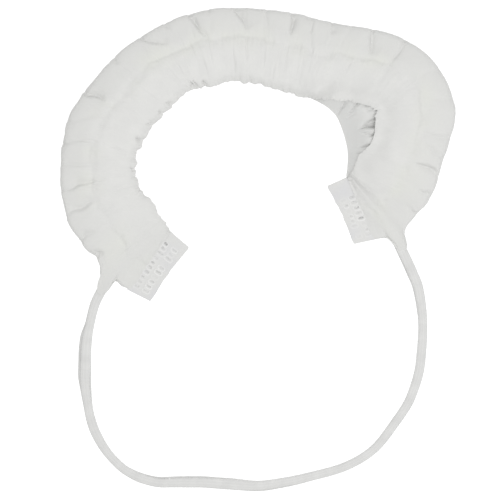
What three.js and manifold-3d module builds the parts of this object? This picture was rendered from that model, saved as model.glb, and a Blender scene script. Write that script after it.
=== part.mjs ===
// A disposable cloth beard cover, lying relaxed on a table: a gathered pouch bent into an arc,
// two flat welded ends, and a soft elastic strap that closes the loop behind the head.
// Millimetres, +Z up, the table at z = 0, the origin under the middle of the cover.
import * as THREE from "three";
import { LoftGeometry } from "three/addons/geometries/LoftGeometry.js";
import { mergeVertices } from "three/addons/utils/BufferGeometryUtils.js";
import Module from "manifold-3d";

// Driving dimensions of the cloth
const WALL = 1;
const SEAT_GAP = 0.3;
const FLAT_HEIGHT = 2 * WALL + SEAT_GAP;
const FULL_HEIGHT = 12;
const GATHER_ACROSS = 0.43;
const BACK_SHORTFALL = 1;
const PUFF_RISE = 0.5;
const PUFF_SHARPNESS = 0.75;

// How finely the pouch is divided
const STEPS_PER_PUFF = 4;
const STEPS_PER_KNOT = 2;

// Cross sections of the pouch, from the left weld round to the right one.
// outer: edge of the rounded fold. lip: edge of the near wall. back: edge of the far wall, given
// where it shows past the lip. height: top of the puff. gape: height of the lip above the table.
const SECTIONS = [
  { outer: [-50.5, -54.3], lip: [-34.5, -31.1], height: FLAT_HEIGHT, gape: FLAT_HEIGHT },
  { outer: [-61.3, -48.7], lip: [-39.7, -23.5], height: 8, gape: 5.5 },
  { outer: [-69.3, -35.9], lip: [-44.1, -17.5], height: 12, gape: 7.5 },
  { outer: [-76.1, -23.9], lip: [-47.3, -12.7], height: 14, gape: 8.5 },
  { outer: [-78.9, -8.7], lip: [-48.7, -6.3], height: 15, gape: 9 },
  { outer: [-77.3, 6.5], lip: [-48.1, 1.3], height: 15.5, gape: 9 },
  { outer: [-71.7, 21.7], lip: [-42.5, 10.9], height: 16, gape: 9 },
  { outer: [-60.1, 35.7], lip: [-35.3, 18.5], height: 15.5, gape: 9 },
  { outer: [-45.3, 47.7], lip: [-26.9, 26.1], height: 15, gape: 9 },
  { outer: [-26.9, 55.7], lip: [-18.1, 27.3], height: 15, gape: 9 },
  { outer: [-8.9, 58.3], lip: [-7.7, 29.5], height: 14.5, gape: 8.5 },
  { outer: [10.7, 57.3], lip: [5.9, 26.7], height: 15, gape: 9 },
  { outer: [30.3, 52.1], lip: [19.9, 22.9], height: 15.5, gape: 9.5 },
  { outer: [49.1, 49.3], lip: [33.9, 20.9], back: [29.1, 18.1], height: 16, gape: 11 },
  { outer: [65.1, 41.3], lip: [44.7, 18.1], back: [32.3, 14.1], height: 16.5, gape: 12.5 },
  { outer: [75.9, 27.7], lip: [47.5, 16.1], back: [34.1, 10.5], height: 16.5, gape: 13 },
  { outer: [79.1, 15.7], lip: [47.5, 12.9], back: [35.3, 6.5], height: 16, gape: 12.5 },
  { outer: [75.9, 1.7], lip: [46.7, 6.5], back: [36.1, 1.3], height: 15, gape: 11 },
  { outer: [70.7, -13.5], lip: [41.5, -0.7], back: [36.1, -3.9], height: 12, gape: 8 },
  { outer: [61.9, -27.1], lip: [37.5, -7.9], back: [35.5, -8.7], height: 7.5, gape: 4.5 },
  { outer: [46.7, -33.9], lip: [35.9, -9.5], back: [35.7, -9.5], height: FLAT_HEIGHT, gape: FLAT_HEIGHT },
];

// The wall's middle line across one section, from the table round the fold to the lip.
// tuck: distance in from the outer edge, in puff heights. across: the same, in band widths.
// rise: height, in puff heights. sink: share of it that gathering takes away.
// ruffle: share of the folds' depth that shows there.
const PROFILE = [
  { tuck: 0.7, across: 0, rise: 0, sink: 0, ruffle: 0 },
  { tuck: 0.16, across: 0, rise: 0.14, sink: 0, ruffle: 0.25 },
  { tuck: 0, across: 0, rise: 0.45, sink: 0, ruffle: 0.5 },
  { tuck: 0.13, across: 0, rise: 0.8, sink: 0, ruffle: 0.9 },
  { tuck: 0.5, across: 0, rise: 1, sink: 0.05, ruffle: 1 },
  { tuck: 0, across: GATHER_ACROSS, rise: 1, sink: 0.22, ruffle: 0.3 },
  { tuck: 0, across: 0.72, rise: 1, sink: 0, ruffle: 0.4 },
  { tuck: 0, across: 0.94, rise: 1, sink: 0.14, ruffle: 0.35 },
];

// The folds that run in from the outer edge to the gather line.
// at: place along the edge, counted in sections. lean: how far the fold's inner end runs on from
// there. depth: how far the crease is drawn in.
const FOLDS = [
  { at: 1.4, lean: 0, depth: 1.2 },
  { at: 2.15, lean: 0, depth: 1.2 },
  { at: 3.05, lean: 0, depth: 1.6 },
  { at: 3.65, lean: 0, depth: 1.6 },
  { at: 4.25, lean: 0, depth: 1.3 },
  { at: 4.85, lean: 0, depth: 1.3 },
  { at: 5.55, lean: 0, depth: 1.1 },
  { at: 6.3, lean: 0.05, depth: 2.2 },
  { at: 7.15, lean: 0.15, depth: 1.3 },
  { at: 7.87, lean: 0.4, depth: 1.8 },
  { at: 8.4, lean: 0.35, depth: 1.4 },
  { at: 8.9, lean: 0.45, depth: 2.3 },
  { at: 9.95, lean: 0.25, depth: 2.2 },
  { at: 10.65, lean: 0.1, depth: 1.2 },
  { at: 11.15, lean: 0.1, depth: 2.2 },
  { at: 11.55, lean: 0.1, depth: 1.2 },
  { at: 12, lean: 0.05, depth: 1.6 },
  { at: 12.4, lean: 0.05, depth: 1.1 },
  { at: 12.85, lean: 0.1, depth: 1.6 },
  { at: 13.55, lean: 0.1, depth: 2.2 },
  { at: 14.4, lean: 0, depth: 1.3 },
  { at: 15.5, lean: 0, depth: 1.5 },
  { at: 16.7, lean: 0, depth: 1.3 },
  { at: 17.55, lean: 0, depth: 2 },
  { at: 18.2, lean: 0, depth: 1.5 },
  { at: 19.1, lean: 0, depth: 1 },
];

// The flat welded ends. edge: the free end of the tab, from its outer to its inner corner.
const TAB_THICKNESS = 1.6;
const TAB_EDGE_DIP = 1.2;
const TAB_EDGE_STEPS = 8;
const WELD_BAR = { length: 2, width: 0.7, depth: 0.35, pitch: 2, margin: 2.6 };
const WELD_ROWS = [1.7, 5.1];
const TABS = {
  weld_tab_left: { edge: [[-42.9, -58.1], [-27.7, -37.1]], section: 0 },
  weld_tab_right: { edge: [[37.9, -35.4], [28.1, -13.1]], section: 20 },
};

// The spouts where the cloth narrows into the strap. root and tip: middle of each end, in plan.
const SPOUT_SIDES = 14;
const SPOUT_ROOT = { halfWidth: 4.4, halfHeight: 2.4 };
const SPOUT_TIP = { halfWidth: 3.2, halfHeight: 1.9 };
const BORE = { halfWidth: 2.3, halfHeight: 0.95 };
const SPOUTS = [
  { root: [-58.7, -46.3], tip: [-61.5, -52.7] },
  { root: [53.5, -29.5], tip: [56.5, -35.7] },
];

// The flat elastic strap, and its route over the table from the left spout to the right one.
// At the first and last point it is still a little above the table.
const STRAP_WIDTH = 4;
const STRAP_THICKNESS = 1;
const STRAP_EDGE = 0.3;
const STRAP_STEPS = 68;
const STRAP_INSERT = 4;
const STRAP_CLEAR = 0.1;
const STRAP_LANDING = 0.4;
const STRAP_ROUTE = [
  [-65.3, -60.2], [-67.1, -66.9], [-68.5, -73.7], [-69.1, -80.7], [-69.1, -87.8], [-68.6, -94.9],
  [-67.7, -102.2], [-65.7, -109.4], [-62.3, -116], [-57.8, -121.8], [-52.1, -126.7], [-45.1, -129.6],
  [-37.7, -131.1], [-30.1, -131], [-23.4, -131], [-11.5, -131.8], [-0.2, -132.4], [11, -131],
  [22.3, -128.4], [34.4, -125.1], [45.9, -118.6], [54.1, -108.3], [61.5, -96.6], [65.3, -83.1],
  [66.1, -68.7], [64.4, -54.1], [61.9, -47.1],
];

// Looks
const CLOTH_LOOK = { color: 0xdddddb, roughness: 0.9, metalness: 0 };
const TAB_LOOK = { color: 0xd6d7d6, roughness: 0.7, metalness: 0 };
const STRAP_LOOK = { color: 0xdcdcd8, roughness: 0.85, metalness: 0 };

const wasm = await Module();
wasm.setup();

function solidFrom(geometry) {
  const bare = new THREE.BufferGeometry();
  bare.setAttribute("position", geometry.getAttribute("position"));
  bare.setIndex(geometry.getIndex());
  const merged = mergeVertices(bare);
  const vertProperties = new Float32Array(merged.attributes.position.array);
  const triVerts = new Uint32Array(merged.index.array);
  return new wasm.Manifold(new wasm.Mesh({ numProp: 3, vertProperties, triVerts }));
}

function geometryFrom(solid) {
  const mesh = solid.getMesh();
  const geometry = new THREE.BufferGeometry();
  geometry.setAttribute("position", new THREE.BufferAttribute(mesh.vertProperties, 3));
  geometry.setIndex(new THREE.BufferAttribute(mesh.triVerts, 1));
  geometry.computeVertexNormals();
  return geometry;
}

function piece(name, geometry, look) {
  const mesh = new THREE.Mesh(geometry, new THREE.MeshStandardMaterial(look));
  mesh.name = name;
  return mesh;
}

function plan([x, y], z = 0) {
  return new THREE.Vector3(x, y, z);
}

// Where a section gives no back edge, the far wall stops a little short of the lip, under it.
function backOf({ outer, lip, back }) {
  const lipPoint = plan(lip);
  const inward = plan(outer).sub(lipPoint).setLength(BACK_SHORTFALL);
  return back ? plan(back) : lipPoint.add(inward);
}

// Guide curves along the band. The outer guide carries the puff's height and the lip's its gape.
const outerGuide = new THREE.CatmullRomCurve3(SECTIONS.map((row) => plan(row.outer, row.height)));
const lipGuide = new THREE.CatmullRomCurve3(SECTIONS.map((row) => plan(row.lip, row.gape)));
const backGuide = new THREE.CatmullRomCurve3(SECTIONS.map(backOf));
const LAST_SECTION = SECTIONS.length - 1;

function bandAt(row) {
  const share = THREE.MathUtils.clamp(row / LAST_SECTION, 0, 1);
  const outer = outerGuide.getPoint(share);
  const lip = lipGuide.getPoint(share);
  const back = backGuide.getPoint(share);
  const height = outer.z - WALL;
  const gape = lip.z - WALL;
  outer.z = 0;
  const toLip = lip.setZ(0).sub(outer);
  const toBack = back.setZ(0).sub(outer);
  const fullness = THREE.MathUtils.smoothstep(height + WALL, FLAT_HEIGHT, FULL_HEIGHT);
  return { outer, toLip, toBack, height, gape, fullness };
}

// The knots of one section's middle line: x is the reach in from the outer edge, y the height.
function knotsOf(band) {
  const width = band.toLip.length();
  const backReach = band.toBack.length();
  const knots = PROFILE.map(({ tuck, across, rise, sink, ruffle }) => ({
    reach: WALL / 2 + tuck * band.height + across * (width - WALL / 2),
    up: band.height * rise * (1 - sink * band.fullness),
    near: rise,
    ruffle,
  }));
  const turnIn = knots[0].reach;
  const farMiddle = { reach: (backReach + turnIn) / 2, up: 0, near: 0, ruffle: 0 };
  const farEdge = { reach: backReach, up: 0, near: 0, ruffle: 0 };
  const lipRuffle = PROFILE.at(-1).ruffle;
  const lip = { reach: width, up: band.gape, near: 1, ruffle: lipRuffle };
  return [farEdge, farMiddle, ...knots, lip];
}

// The crease on each side of a place along the band, with a flat end at each weld.
const CREASES = [{ at: 0, lean: 0, depth: 0 }, ...FOLDS, { at: LAST_SECTION, lean: 0, depth: 0 }];

// Swell of the cloth between two creases: negative in a crease, positive on the puff between.
function swellBetween(before, after, share) {
  const puff = Math.sin(Math.PI * share) ** PUFF_SHARPNESS;
  const depth = THREE.MathUtils.lerp(before.depth, after.depth, share);
  return PUFF_RISE * puff - depth * (1 - puff);
}

// One closed ring of the wall: its outside from the far edge to the lip, then its inside back.
function wallRing(row, lean, swell) {
  const band = bandAt(row);
  const knots = knotsOf(band);
  const middle = new THREE.CatmullRomCurve3(knots.map(({ reach, up }) => new THREE.Vector3(reach, up, 0)));
  const count = (knots.length - 1) * STEPS_PER_KNOT;
  const line = middle.getPoints(count);
  line.forEach((point) => point.setY(Math.max(point.y, 0)));
  const gatherReach = GATHER_ACROSS * band.toLip.length();
  const outside = [];
  const inside = [];
  line.forEach((point, i) => {
    const knot = knots[Math.floor(i / STEPS_PER_KNOT)];
    const next = knots[Math.ceil(i / STEPS_PER_KNOT)];
    const share = (i % STEPS_PER_KNOT) / STEPS_PER_KNOT;
    const near = THREE.MathUtils.lerp(knot.near, next.near, share);
    const ruffle = THREE.MathUtils.lerp(knot.ruffle, next.ruffle, share) * band.fullness;
    const along = new THREE.Vector3().subVectors(line[Math.min(i + 1, count)], line[Math.max(i - 1, 0)]);
    const out = new THREE.Vector3(-along.y, along.x, 0).normalize();
    point = point.clone().addScaledVector(out, swell * ruffle);
    const shifted = bandAt(row + lean * THREE.MathUtils.clamp(point.x / gatherReach, 0, 1));
    const inward = shifted.toBack.normalize().lerp(shifted.toLip.normalize(), near).normalize();
    const place = (depth) => {
      const cut = point.clone().addScaledVector(out, depth);
      return shifted.outer.clone().addScaledVector(inward, cut.x).setZ(WALL / 2 + cut.y);
    };
    outside.push(place(WALL / 2));
    inside.unshift(place(-WALL / 2));
  });
  return [...outside, ...inside];
}

function pouchShell() {
  const rings = [];
  for (let i = 0; i < CREASES.length - 1; i += 1) {
    const before = CREASES[i];
    const after = CREASES[i + 1];
    for (let step = i === 0 ? 0 : 1; step <= STEPS_PER_PUFF; step += 1) {
      const share = step / STEPS_PER_PUFF;
      const row = THREE.MathUtils.lerp(before.at, after.at, share);
      const lean = THREE.MathUtils.lerp(before.lean, after.lean, share);
      rings.push(wallRing(row, lean, swellBetween(before, after, share)));
    }
  }
  return solidFrom(new LoftGeometry(rings, { capStart: true, capEnd: true }));
}

// An upright oval ring across a spout, standing on the table unless it is raised.
function ovalRing(centre, across, halfWidth, halfHeight, middle) {
  return Array.from({ length: SPOUT_SIDES }, (_, i) => {
    const angle = (i / SPOUT_SIDES) * 2 * Math.PI;
    const point = centre.clone().addScaledVector(across, Math.cos(angle) * halfWidth);
    return point.setZ(middle + Math.sin(angle) * halfHeight);
  });
}

function spoutAxis({ root, tip }) {
  const start = plan(root);
  const end = plan(tip);
  const along = end.clone().sub(start).normalize();
  const across = new THREE.Vector3(-along.y, along.x, 0);
  return { start, end, along, across };
}

function spoutBody(spout) {
  const { start, end, across } = spoutAxis(spout);
  const root = ovalRing(start, across, SPOUT_ROOT.halfWidth, SPOUT_ROOT.halfHeight, SPOUT_ROOT.halfHeight);
  const tip = ovalRing(end, across, SPOUT_TIP.halfWidth, SPOUT_TIP.halfHeight, SPOUT_TIP.halfHeight);
  return solidFrom(new LoftGeometry([root, tip], { capStart: true, capEnd: true }));
}

// The way through a spout, with room round the strap, run past both of its ends.
function spoutBore(spout) {
  const { start, end, along, across } = spoutAxis(spout);
  const ends = [start.clone().sub(along), end.clone().add(along)];
  const rings = ends.map((centre) => {
    return ovalRing(centre, across, BORE.halfWidth, BORE.halfHeight, SPOUT_TIP.halfHeight);
  });
  return solidFrom(new LoftGeometry(rings, { capStart: true, capEnd: true }));
}

function coverPouch() {
  let solid = pouchShell();
  for (const spout of SPOUTS) {
    solid = solid.add(spoutBody(spout)).subtract(spoutBore(spout));
  }
  return piece("cover_pouch", geometryFrom(solid), CLOTH_LOOK);
}

// A flat welded end: it starts a seat gap past the pouch, and its free edge dips in slightly.
function weldTab(name, { edge, section }) {
  const outerRoot = plan(SECTIONS[section].outer);
  const innerRoot = plan(SECTIONS[section].lip);
  const outerEnd = plan(edge[0]);
  const innerEnd = plan(edge[1]);
  const outward = outerEnd.clone().sub(outerRoot).normalize();
  outerRoot.addScaledVector(outward, SEAT_GAP);
  innerRoot.addScaledVector(outward, SEAT_GAP);
  const alongEdge = innerEnd.clone().sub(outerEnd);
  const edgeLength = alongEdge.length();
  alongEdge.normalize();
  const toPouch = outerRoot.clone().add(innerRoot).sub(outerEnd).sub(innerEnd).normalize();
  const dip = outerEnd.clone().lerp(innerEnd, 0.5).addScaledVector(toPouch, 2 * TAB_EDGE_DIP);
  const outline = new THREE.Shape();
  outline.moveTo(outerRoot.x, outerRoot.y);
  outline.lineTo(outerEnd.x, outerEnd.y);
  outline.quadraticCurveTo(dip.x, dip.y, innerEnd.x, innerEnd.y);
  outline.lineTo(innerRoot.x, innerRoot.y);
  const flat = { depth: TAB_THICKNESS, bevelEnabled: false, curveSegments: TAB_EDGE_STEPS };
  let solid = solidFrom(new THREE.ExtrudeGeometry(outline, flat));
  const turn = Math.atan2(toPouch.y, toPouch.x);
  const bars = Math.floor((edgeLength - 2 * WELD_BAR.margin) / WELD_BAR.pitch);
  for (const inset of WELD_ROWS) {
    for (let i = 0; i <= bars; i += 1) {
      const bar = new THREE.BoxGeometry(WELD_BAR.length, WELD_BAR.width, 2 * WELD_BAR.depth);
      const centre = outerEnd.clone().addScaledVector(alongEdge, WELD_BAR.margin + i * WELD_BAR.pitch);
      centre.addScaledVector(toPouch, inset + WELD_BAR.length / 2);
      bar.rotateZ(turn);
      bar.translate(centre.x, centre.y, TAB_THICKNESS);
      solid = solid.subtract(solidFrom(bar));
    }
  }
  return piece(name, geometryFrom(solid), TAB_LOOK);
}

// The strap's section: thickness along x and width along y, with chamfered edges.
function strapSection() {
  const halfWidth = STRAP_WIDTH / 2;
  const halfThickness = STRAP_THICKNESS / 2;
  const section = new THREE.Shape();
  section.moveTo(-halfThickness, STRAP_EDGE - halfWidth);
  section.lineTo(STRAP_EDGE - halfThickness, -halfWidth);
  section.lineTo(halfThickness - STRAP_EDGE, -halfWidth);
  section.lineTo(halfThickness, STRAP_EDGE - halfWidth);
  section.lineTo(halfThickness, halfWidth - STRAP_EDGE);
  section.lineTo(halfThickness - STRAP_EDGE, halfWidth);
  section.lineTo(STRAP_EDGE - halfThickness, halfWidth);
  section.lineTo(-halfThickness, halfWidth - STRAP_EDGE);
  return section;
}

function headElastic() {
  const inSpout = SPOUTS.map((spout) => {
    const { end, along } = spoutAxis(spout);
    const tip = end.clone().setZ(SPOUT_TIP.halfHeight);
    return { tip, seated: tip.clone().addScaledVector(along, -STRAP_INSERT) };
  });
  const onTable = STRAP_ROUTE.map((point) => plan(point, STRAP_THICKNESS / 2 + STRAP_CLEAR));
  onTable.at(0).z += STRAP_LANDING;
  onTable.at(-1).z += STRAP_LANDING;
  const [left, right] = inSpout;
  const route = [left.seated, left.tip, ...onTable, right.tip, right.seated];
  const path = new THREE.CatmullRomCurve3(route);
  const strap = new THREE.ExtrudeGeometry(strapSection(), {
    steps: STRAP_STEPS,
    extrudePath: path,
    bevelEnabled: false,
  });
  return piece("head_elastic", geometryFrom(solidFrom(strap)), STRAP_LOOK);
}

const beardCover = new THREE.Group();
beardCover.add(coverPouch());
for (const [name, tab] of Object.entries(TABS)) {
  beardCover.add(weldTab(name, tab));
}
beardCover.add(headElastic());

export default beardCover;
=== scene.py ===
# %% [markdown]
# # A gathered beard cover, lying relaxed on a table
# The object is one thin sheet of non-woven cloth, gathered into a soft pouch and bent into an arc.
# Both ends are welded flat, and an elastic strap closes the loop behind the head.
# The packed solids give the sizes and the frame, in metres with the table at z = 0.
# This lesson lays cloth over that frame: strap first, then the pouch, the welds and the finishes.

import bmesh
import bpy
import numpy as np
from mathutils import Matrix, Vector, kdtree, noise


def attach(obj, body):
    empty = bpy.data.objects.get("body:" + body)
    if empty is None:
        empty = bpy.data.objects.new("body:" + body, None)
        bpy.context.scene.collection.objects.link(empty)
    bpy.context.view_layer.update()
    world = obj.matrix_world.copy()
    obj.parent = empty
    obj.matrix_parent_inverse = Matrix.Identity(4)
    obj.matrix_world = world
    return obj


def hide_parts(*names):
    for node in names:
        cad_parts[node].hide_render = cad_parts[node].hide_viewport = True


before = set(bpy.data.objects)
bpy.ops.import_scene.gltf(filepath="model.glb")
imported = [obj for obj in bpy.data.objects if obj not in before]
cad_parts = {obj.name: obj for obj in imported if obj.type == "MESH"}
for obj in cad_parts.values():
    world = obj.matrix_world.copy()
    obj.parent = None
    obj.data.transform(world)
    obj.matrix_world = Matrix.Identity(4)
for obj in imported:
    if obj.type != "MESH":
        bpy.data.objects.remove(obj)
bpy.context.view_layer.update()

scene = bpy.context.scene

# %% [markdown]
# ## The camera
# The photograph looks straight down, so the camera stands over the table with +Y up in the picture.
# A long lens from far away keeps the pouch's height from leaning outwards at the picture's edge.

# %% Camera over the table
VIEW_WIDTH = 0.2
VIEW_CENTRE = (-0.0029, -0.03834)
CAMERA_HEIGHT = 1.2

camera_data = bpy.data.cameras.new("camera")
camera_data.lens = camera_data.sensor_width * CAMERA_HEIGHT / VIEW_WIDTH
camera = bpy.data.objects.new("camera", camera_data)
camera.location = (*VIEW_CENTRE, CAMERA_HEIGHT)
scene.collection.objects.link(camera)
scene.camera = camera
print("camera sees", VIEW_WIDTH, "m of table through a lens of", round(camera_data.lens), "mm")

# %% [markdown]
# ## Tools for smooth tables
# Soft shapes are easiest to state as a few measured rows with smooth values between them.
# A plain cubic through the rows overshoots where rows are close together, so the slopes are limited:
# where a value turns round, its slope is zero, and elsewhere it is the harmonic mean of its neighbours.

# %% Smooth values between the rows of a table
TINY = 1e-9


def between_rows(table, at):
    """The table's values at row numbers that needn't be whole."""
    rows = np.asarray(table, dtype=float)
    step = np.diff(rows, axis=0)
    before, after = step[:-1], step[1:]
    product = before * after
    total = np.where(np.abs(before + after) < TINY, 1, before + after)
    slope = np.zeros_like(rows)
    slope[1:-1] = np.where(product > 0, 2 * product / total, 0)
    slope[0], slope[-1] = step[0], step[-1]
    at = np.clip(np.asarray(at, dtype=float), 0, len(rows) - 1)
    row = np.minimum(at.astype(int), len(rows) - 2)
    t = (at - row).reshape(at.shape + (1,) * (rows.ndim - 1))
    rise = t * t * (3 - 2 * t)
    leave = t * (1 - t) ** 2
    arrive = t * t * (t - 1)
    return rows[row] * (1 - rise) + rows[row + 1] * rise + slope[row] * leave + slope[row + 1] * arrive


print("half way from 0 to 1, and from 1 to 3:", between_rows([0, 1, 3], [0.5, 1.5]))

# %% Equal steps along a line
def evenly_along(points, count):
    """Row numbers that divide a dense line of points into equal lengths, and the line's length."""
    lengths = np.linalg.norm(np.diff(points, axis=0), axis=1)
    run = np.concatenate([[0], np.cumsum(lengths)])
    row_numbers = np.interp(np.linspace(0, run[-1], count), run, np.arange(len(points)))
    return row_numbers, float(run[-1])


print("half way along steps of 3 and 1:", evenly_along(np.array([[0, 0], [3, 0], [4, 0]]), 3)[0])

# %% [markdown]
# ## The head elastic
# The strap is a soft tape, folded over along its length, so here and there a second layer peeps out.
# It could be a curve with a bevel, but a bevel can't widen one layer alone. So one ring of the tape's
# section is extruded along the route, and each ring is then shaped by the widths at its place.

# %% The strap's route
STRAP_ROUTE = [
    (-0.0653, -0.0602), (-0.0671, -0.0669), (-0.0685, -0.0737), (-0.0691, -0.0807),
    (-0.0691, -0.0878), (-0.0686, -0.0949), (-0.0677, -0.1022), (-0.0657, -0.1094),
    (-0.0623, -0.1160), (-0.0578, -0.1218), (-0.0521, -0.1267), (-0.0451, -0.1296),
    (-0.0377, -0.1311), (-0.0301, -0.1310), (-0.0234, -0.1310), (-0.0115, -0.1318),
    (-0.0002, -0.1324), (0.0110, -0.1310), (0.0223, -0.1284), (0.0344, -0.1251),
    (0.0459, -0.1186), (0.0541, -0.1083), (0.0615, -0.0966), (0.0653, -0.0831),
    (0.0661, -0.0687), (0.0644, -0.0541), (0.0619, -0.0471),
]
STRAP_EXIT_LEFT = (-0.0615, -0.0527)
STRAP_EXIT_RIGHT = (0.0565, -0.0357)
STRAP_SEAT_LEFT = (-0.0599, -0.0490)
STRAP_SEAT_RIGHT = (0.0548, -0.0321)
STRAP_STEPS = 240
ROUTE_DENSITY = 40

route = np.array([STRAP_SEAT_LEFT, STRAP_EXIT_LEFT, *STRAP_ROUTE, STRAP_EXIT_RIGHT, STRAP_SEAT_RIGHT])
dense = between_rows(route, np.linspace(0, len(route) - 1, len(route) * ROUTE_DENSITY))
route_at, strap_length = evenly_along(dense, STRAP_STEPS + 1)
strap_line = between_rows(dense, route_at)
print("strap route:", len(route), "points,", round(strap_length, 4), "m")

# %% The strap's changing sizes
STRAP_WIDTH = 0.004
# at: share of the route. left, right: the tape's edges from the route, seen along it. height: of the
# tape. under left, under right: how much of that side is the folded layer under the top one.
STRAP_TABLE = [
    # at, left, right, height, under left, under right
    (0.000, 0.0020, 0.0020, 0.0009, 0.0000, 0.0000),
    (0.030, 0.0021, 0.0017, 0.0012, 0.0000, 0.0000),
    (0.070, 0.0022, 0.0015, 0.0015, 0.0000, 0.0002),
    (0.095, 0.0025, 0.0024, 0.0016, 0.0000, 0.0009),
    (0.120, 0.0027, 0.0024, 0.0017, 0.0000, 0.0009),
    (0.145, 0.0027, 0.0026, 0.0017, 0.0005, 0.0009),
    (0.165, 0.0024, 0.0021, 0.0016, 0.0006, 0.0003),
    (0.195, 0.0021, 0.0015, 0.0015, 0.0001, 0.0000),
    (0.225, 0.0021, 0.0017, 0.0015, 0.0000, 0.0000),
    (0.275, 0.0017, 0.0017, 0.0015, 0.0000, 0.0000),
    (0.300, 0.0017, 0.0018, 0.0015, 0.0000, 0.0000),
    (0.330, 0.0017, 0.0023, 0.0015, 0.0003, 0.0000),
    (0.360, 0.0021, 0.0022, 0.0016, 0.0007, 0.0000),
    (0.400, 0.0023, 0.0023, 0.0016, 0.0007, 0.0000),
    (0.450, 0.0023, 0.0023, 0.0016, 0.0003, 0.0000),
    (0.490, 0.0018, 0.0024, 0.0016, 0.0000, 0.0004),
    (0.530, 0.0017, 0.0022, 0.0015, 0.0000, 0.0003),
    (0.570, 0.0015, 0.0020, 0.0015, 0.0000, 0.0000),
    (0.660, 0.0017, 0.0017, 0.0015, 0.0000, 0.0000),
    (0.710, 0.0015, 0.0021, 0.0015, 0.0000, 0.0002),
    (0.810, 0.0019, 0.0019, 0.0015, 0.0000, 0.0000),
    (0.860, 0.0017, 0.0019, 0.0015, 0.0000, 0.0000),
    (0.915, 0.0021, 0.0021, 0.0016, 0.0004, 0.0000),
    (0.945, 0.0023, 0.0020, 0.0015, 0.0004, 0.0000),
    (1.000, 0.0020, 0.0020, 0.0009, 0.0000, 0.0000),
]


def mm(metres, digits=2):
    """Metres as rounded millimetres, for printing."""
    return round(float(metres) * 1000, digits)


strap_share = np.linspace(0, 1, STRAP_STEPS + 1)
strap_rows = np.array(STRAP_TABLE)
row_at = np.interp(strap_share, strap_rows[:, 0], np.arange(len(strap_rows)))
strap_sizes = between_rows(strap_rows[:, 1:], row_at)
print("strap: up to", mm(strap_sizes[:, :2].sum(axis=1).max()), "mm wide")

# %% One ring of the strap's section
# side, rise: a point of the round top layer, in half widths and heights.
TOP_LAYER = [(1.0, 0.42), (0.97, 0.68), (0.80, 0.90), (0.45, 0.99), (0.0, 1.0),
             (-0.45, 0.99), (-0.80, 0.90), (-0.97, 0.68), (-1.0, 0.42)]
# inset, rise: a point of the flat layer under it, in what shows of that layer and in its height.
UNDER_LAYER = [(0.1, 0.0), (0.0, 0.5), (0.2, 1.0)]
UNDER_TOP = 0.0006
UNDER_SHARE = 0.45


def strap_ring(left, right, height, under_left, under_right):
    """One ring of the section, from the underside round to the top: side to the left, then up."""
    under = min(UNDER_TOP, UNDER_SHARE * height)
    top_left, top_right = left - under_left, right - under_right
    ring = [(0, 0)]
    ring += [(left - inset * under_left, rise * under) for inset, rise in UNDER_LAYER]
    ring += [(side * (top_left if side > 0 else top_right), rise * height) for side, rise in TOP_LAYER]
    ring += [(inset * under_right - right, rise * under) for inset, rise in reversed(UNDER_LAYER)]
    return ring


RING_POINTS = len(strap_ring(*strap_sizes[0]))
print("strap section:", RING_POINTS, "points,", STRAP_STEPS, "steps")

# %% Extrude the strap along its route
bm = bmesh.new()
bmesh.ops.create_circle(bm, segments=RING_POINTS, radius=STRAP_WIDTH / 2)
rings = [list(bm.verts)]
edges = list(bm.edges)
for _ in range(STRAP_STEPS):
    made = bmesh.ops.extrude_edge_only(bm, edges=edges)["geom"]
    edges = [g for g in made if isinstance(g, bmesh.types.BMEdge) and len(g.link_faces) == 1]
    old = set(rings[-1])
    following = {}
    for face in (g for g in made if isinstance(g, bmesh.types.BMFace)):
        for edge in face.edges:
            a, b = edge.verts
            if (a in old) != (b in old):
                following[a if a in old else b] = b if a in old else a
    rings.append([following[v] for v in rings[-1]])
print("strap rings:", len(rings))

# %% Shape the rings
STRAP_CLEAR = 0.0001
STRAP_LIFT = 0.0003
LIFT_RUN = 0.008

heading = np.gradient(strap_line, axis=0)
heading /= np.linalg.norm(heading, axis=1)[:, None]
to_left = np.column_stack([-heading[:, 1], heading[:, 0]])
run = strap_share * strap_length
lift = STRAP_CLEAR + STRAP_LIFT * (np.exp(-run / LIFT_RUN) + np.exp((run - strap_length) / LIFT_RUN))
for i, ring in enumerate(rings):
    left, right, height = strap_sizes[i][:3]
    for vert, (side, up) in zip(ring, strap_ring(*strap_sizes[i])):
        vert.co = (*(strap_line[i] + to_left[i] * side), lift[i] + up)
    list(strap_line[i] + to_left[i] * (left - right) / 2)
    lift[i] + height / 2

# %% [markdown]
# A finish that follows the tape needs its flat size, so the way along and the way round are kept as a
# UV map in metres. Extruding leaves the faces in no fixed order, so they are sorted ring by ring.
# Every piece here becomes an object at the origin, with its place in its mesh.

# %% The strap's flat map, and the strap as a piece
def new_piece(name, bm):
    """A new object with the bmesh as its mesh, at the origin, shaded smooth."""
    mesh = bpy.data.meshes.new(name)
    bm.to_mesh(mesh)
    bm.free()
    piece = bpy.data.objects.new(name, mesh)
    scene.collection.objects.link(piece)
    mesh.shade_smooth()
    return piece


uv = bm.loops.layers.uv.new("flat")
ring_place = {vert: (i, j) for i, ring in enumerate(rings) for j, vert in enumerate(ring)}
face_order = {}
for face in bm.faces:
    places = [ring_place[loop.vert] for loop in face.loops]
    wraps = max(j for _, j in places) - min(j for _, j in places) > 1
    for loop, (i, j) in zip(face.loops, places):
        round_at = RING_POINTS if wraps and j == 0 else j
        loop[uv].uv = (run[i], round_at / RING_POINTS * 2 * STRAP_WIDTH)
    face_order[face] = min(i * RING_POINTS + j for i, j in places) + wraps / 2
bm.faces.sort(key=face_order.get)
bmesh.ops.holes_fill(bm, edges=[e for e in bm.edges if len(e.link_faces) == 1])
bmesh.ops.recalc_face_normals(bm, faces=bm.faces)
strap = new_piece("elastic_strap", bm)
print("strap:", len(strap.data.polygons), "faces")

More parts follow.
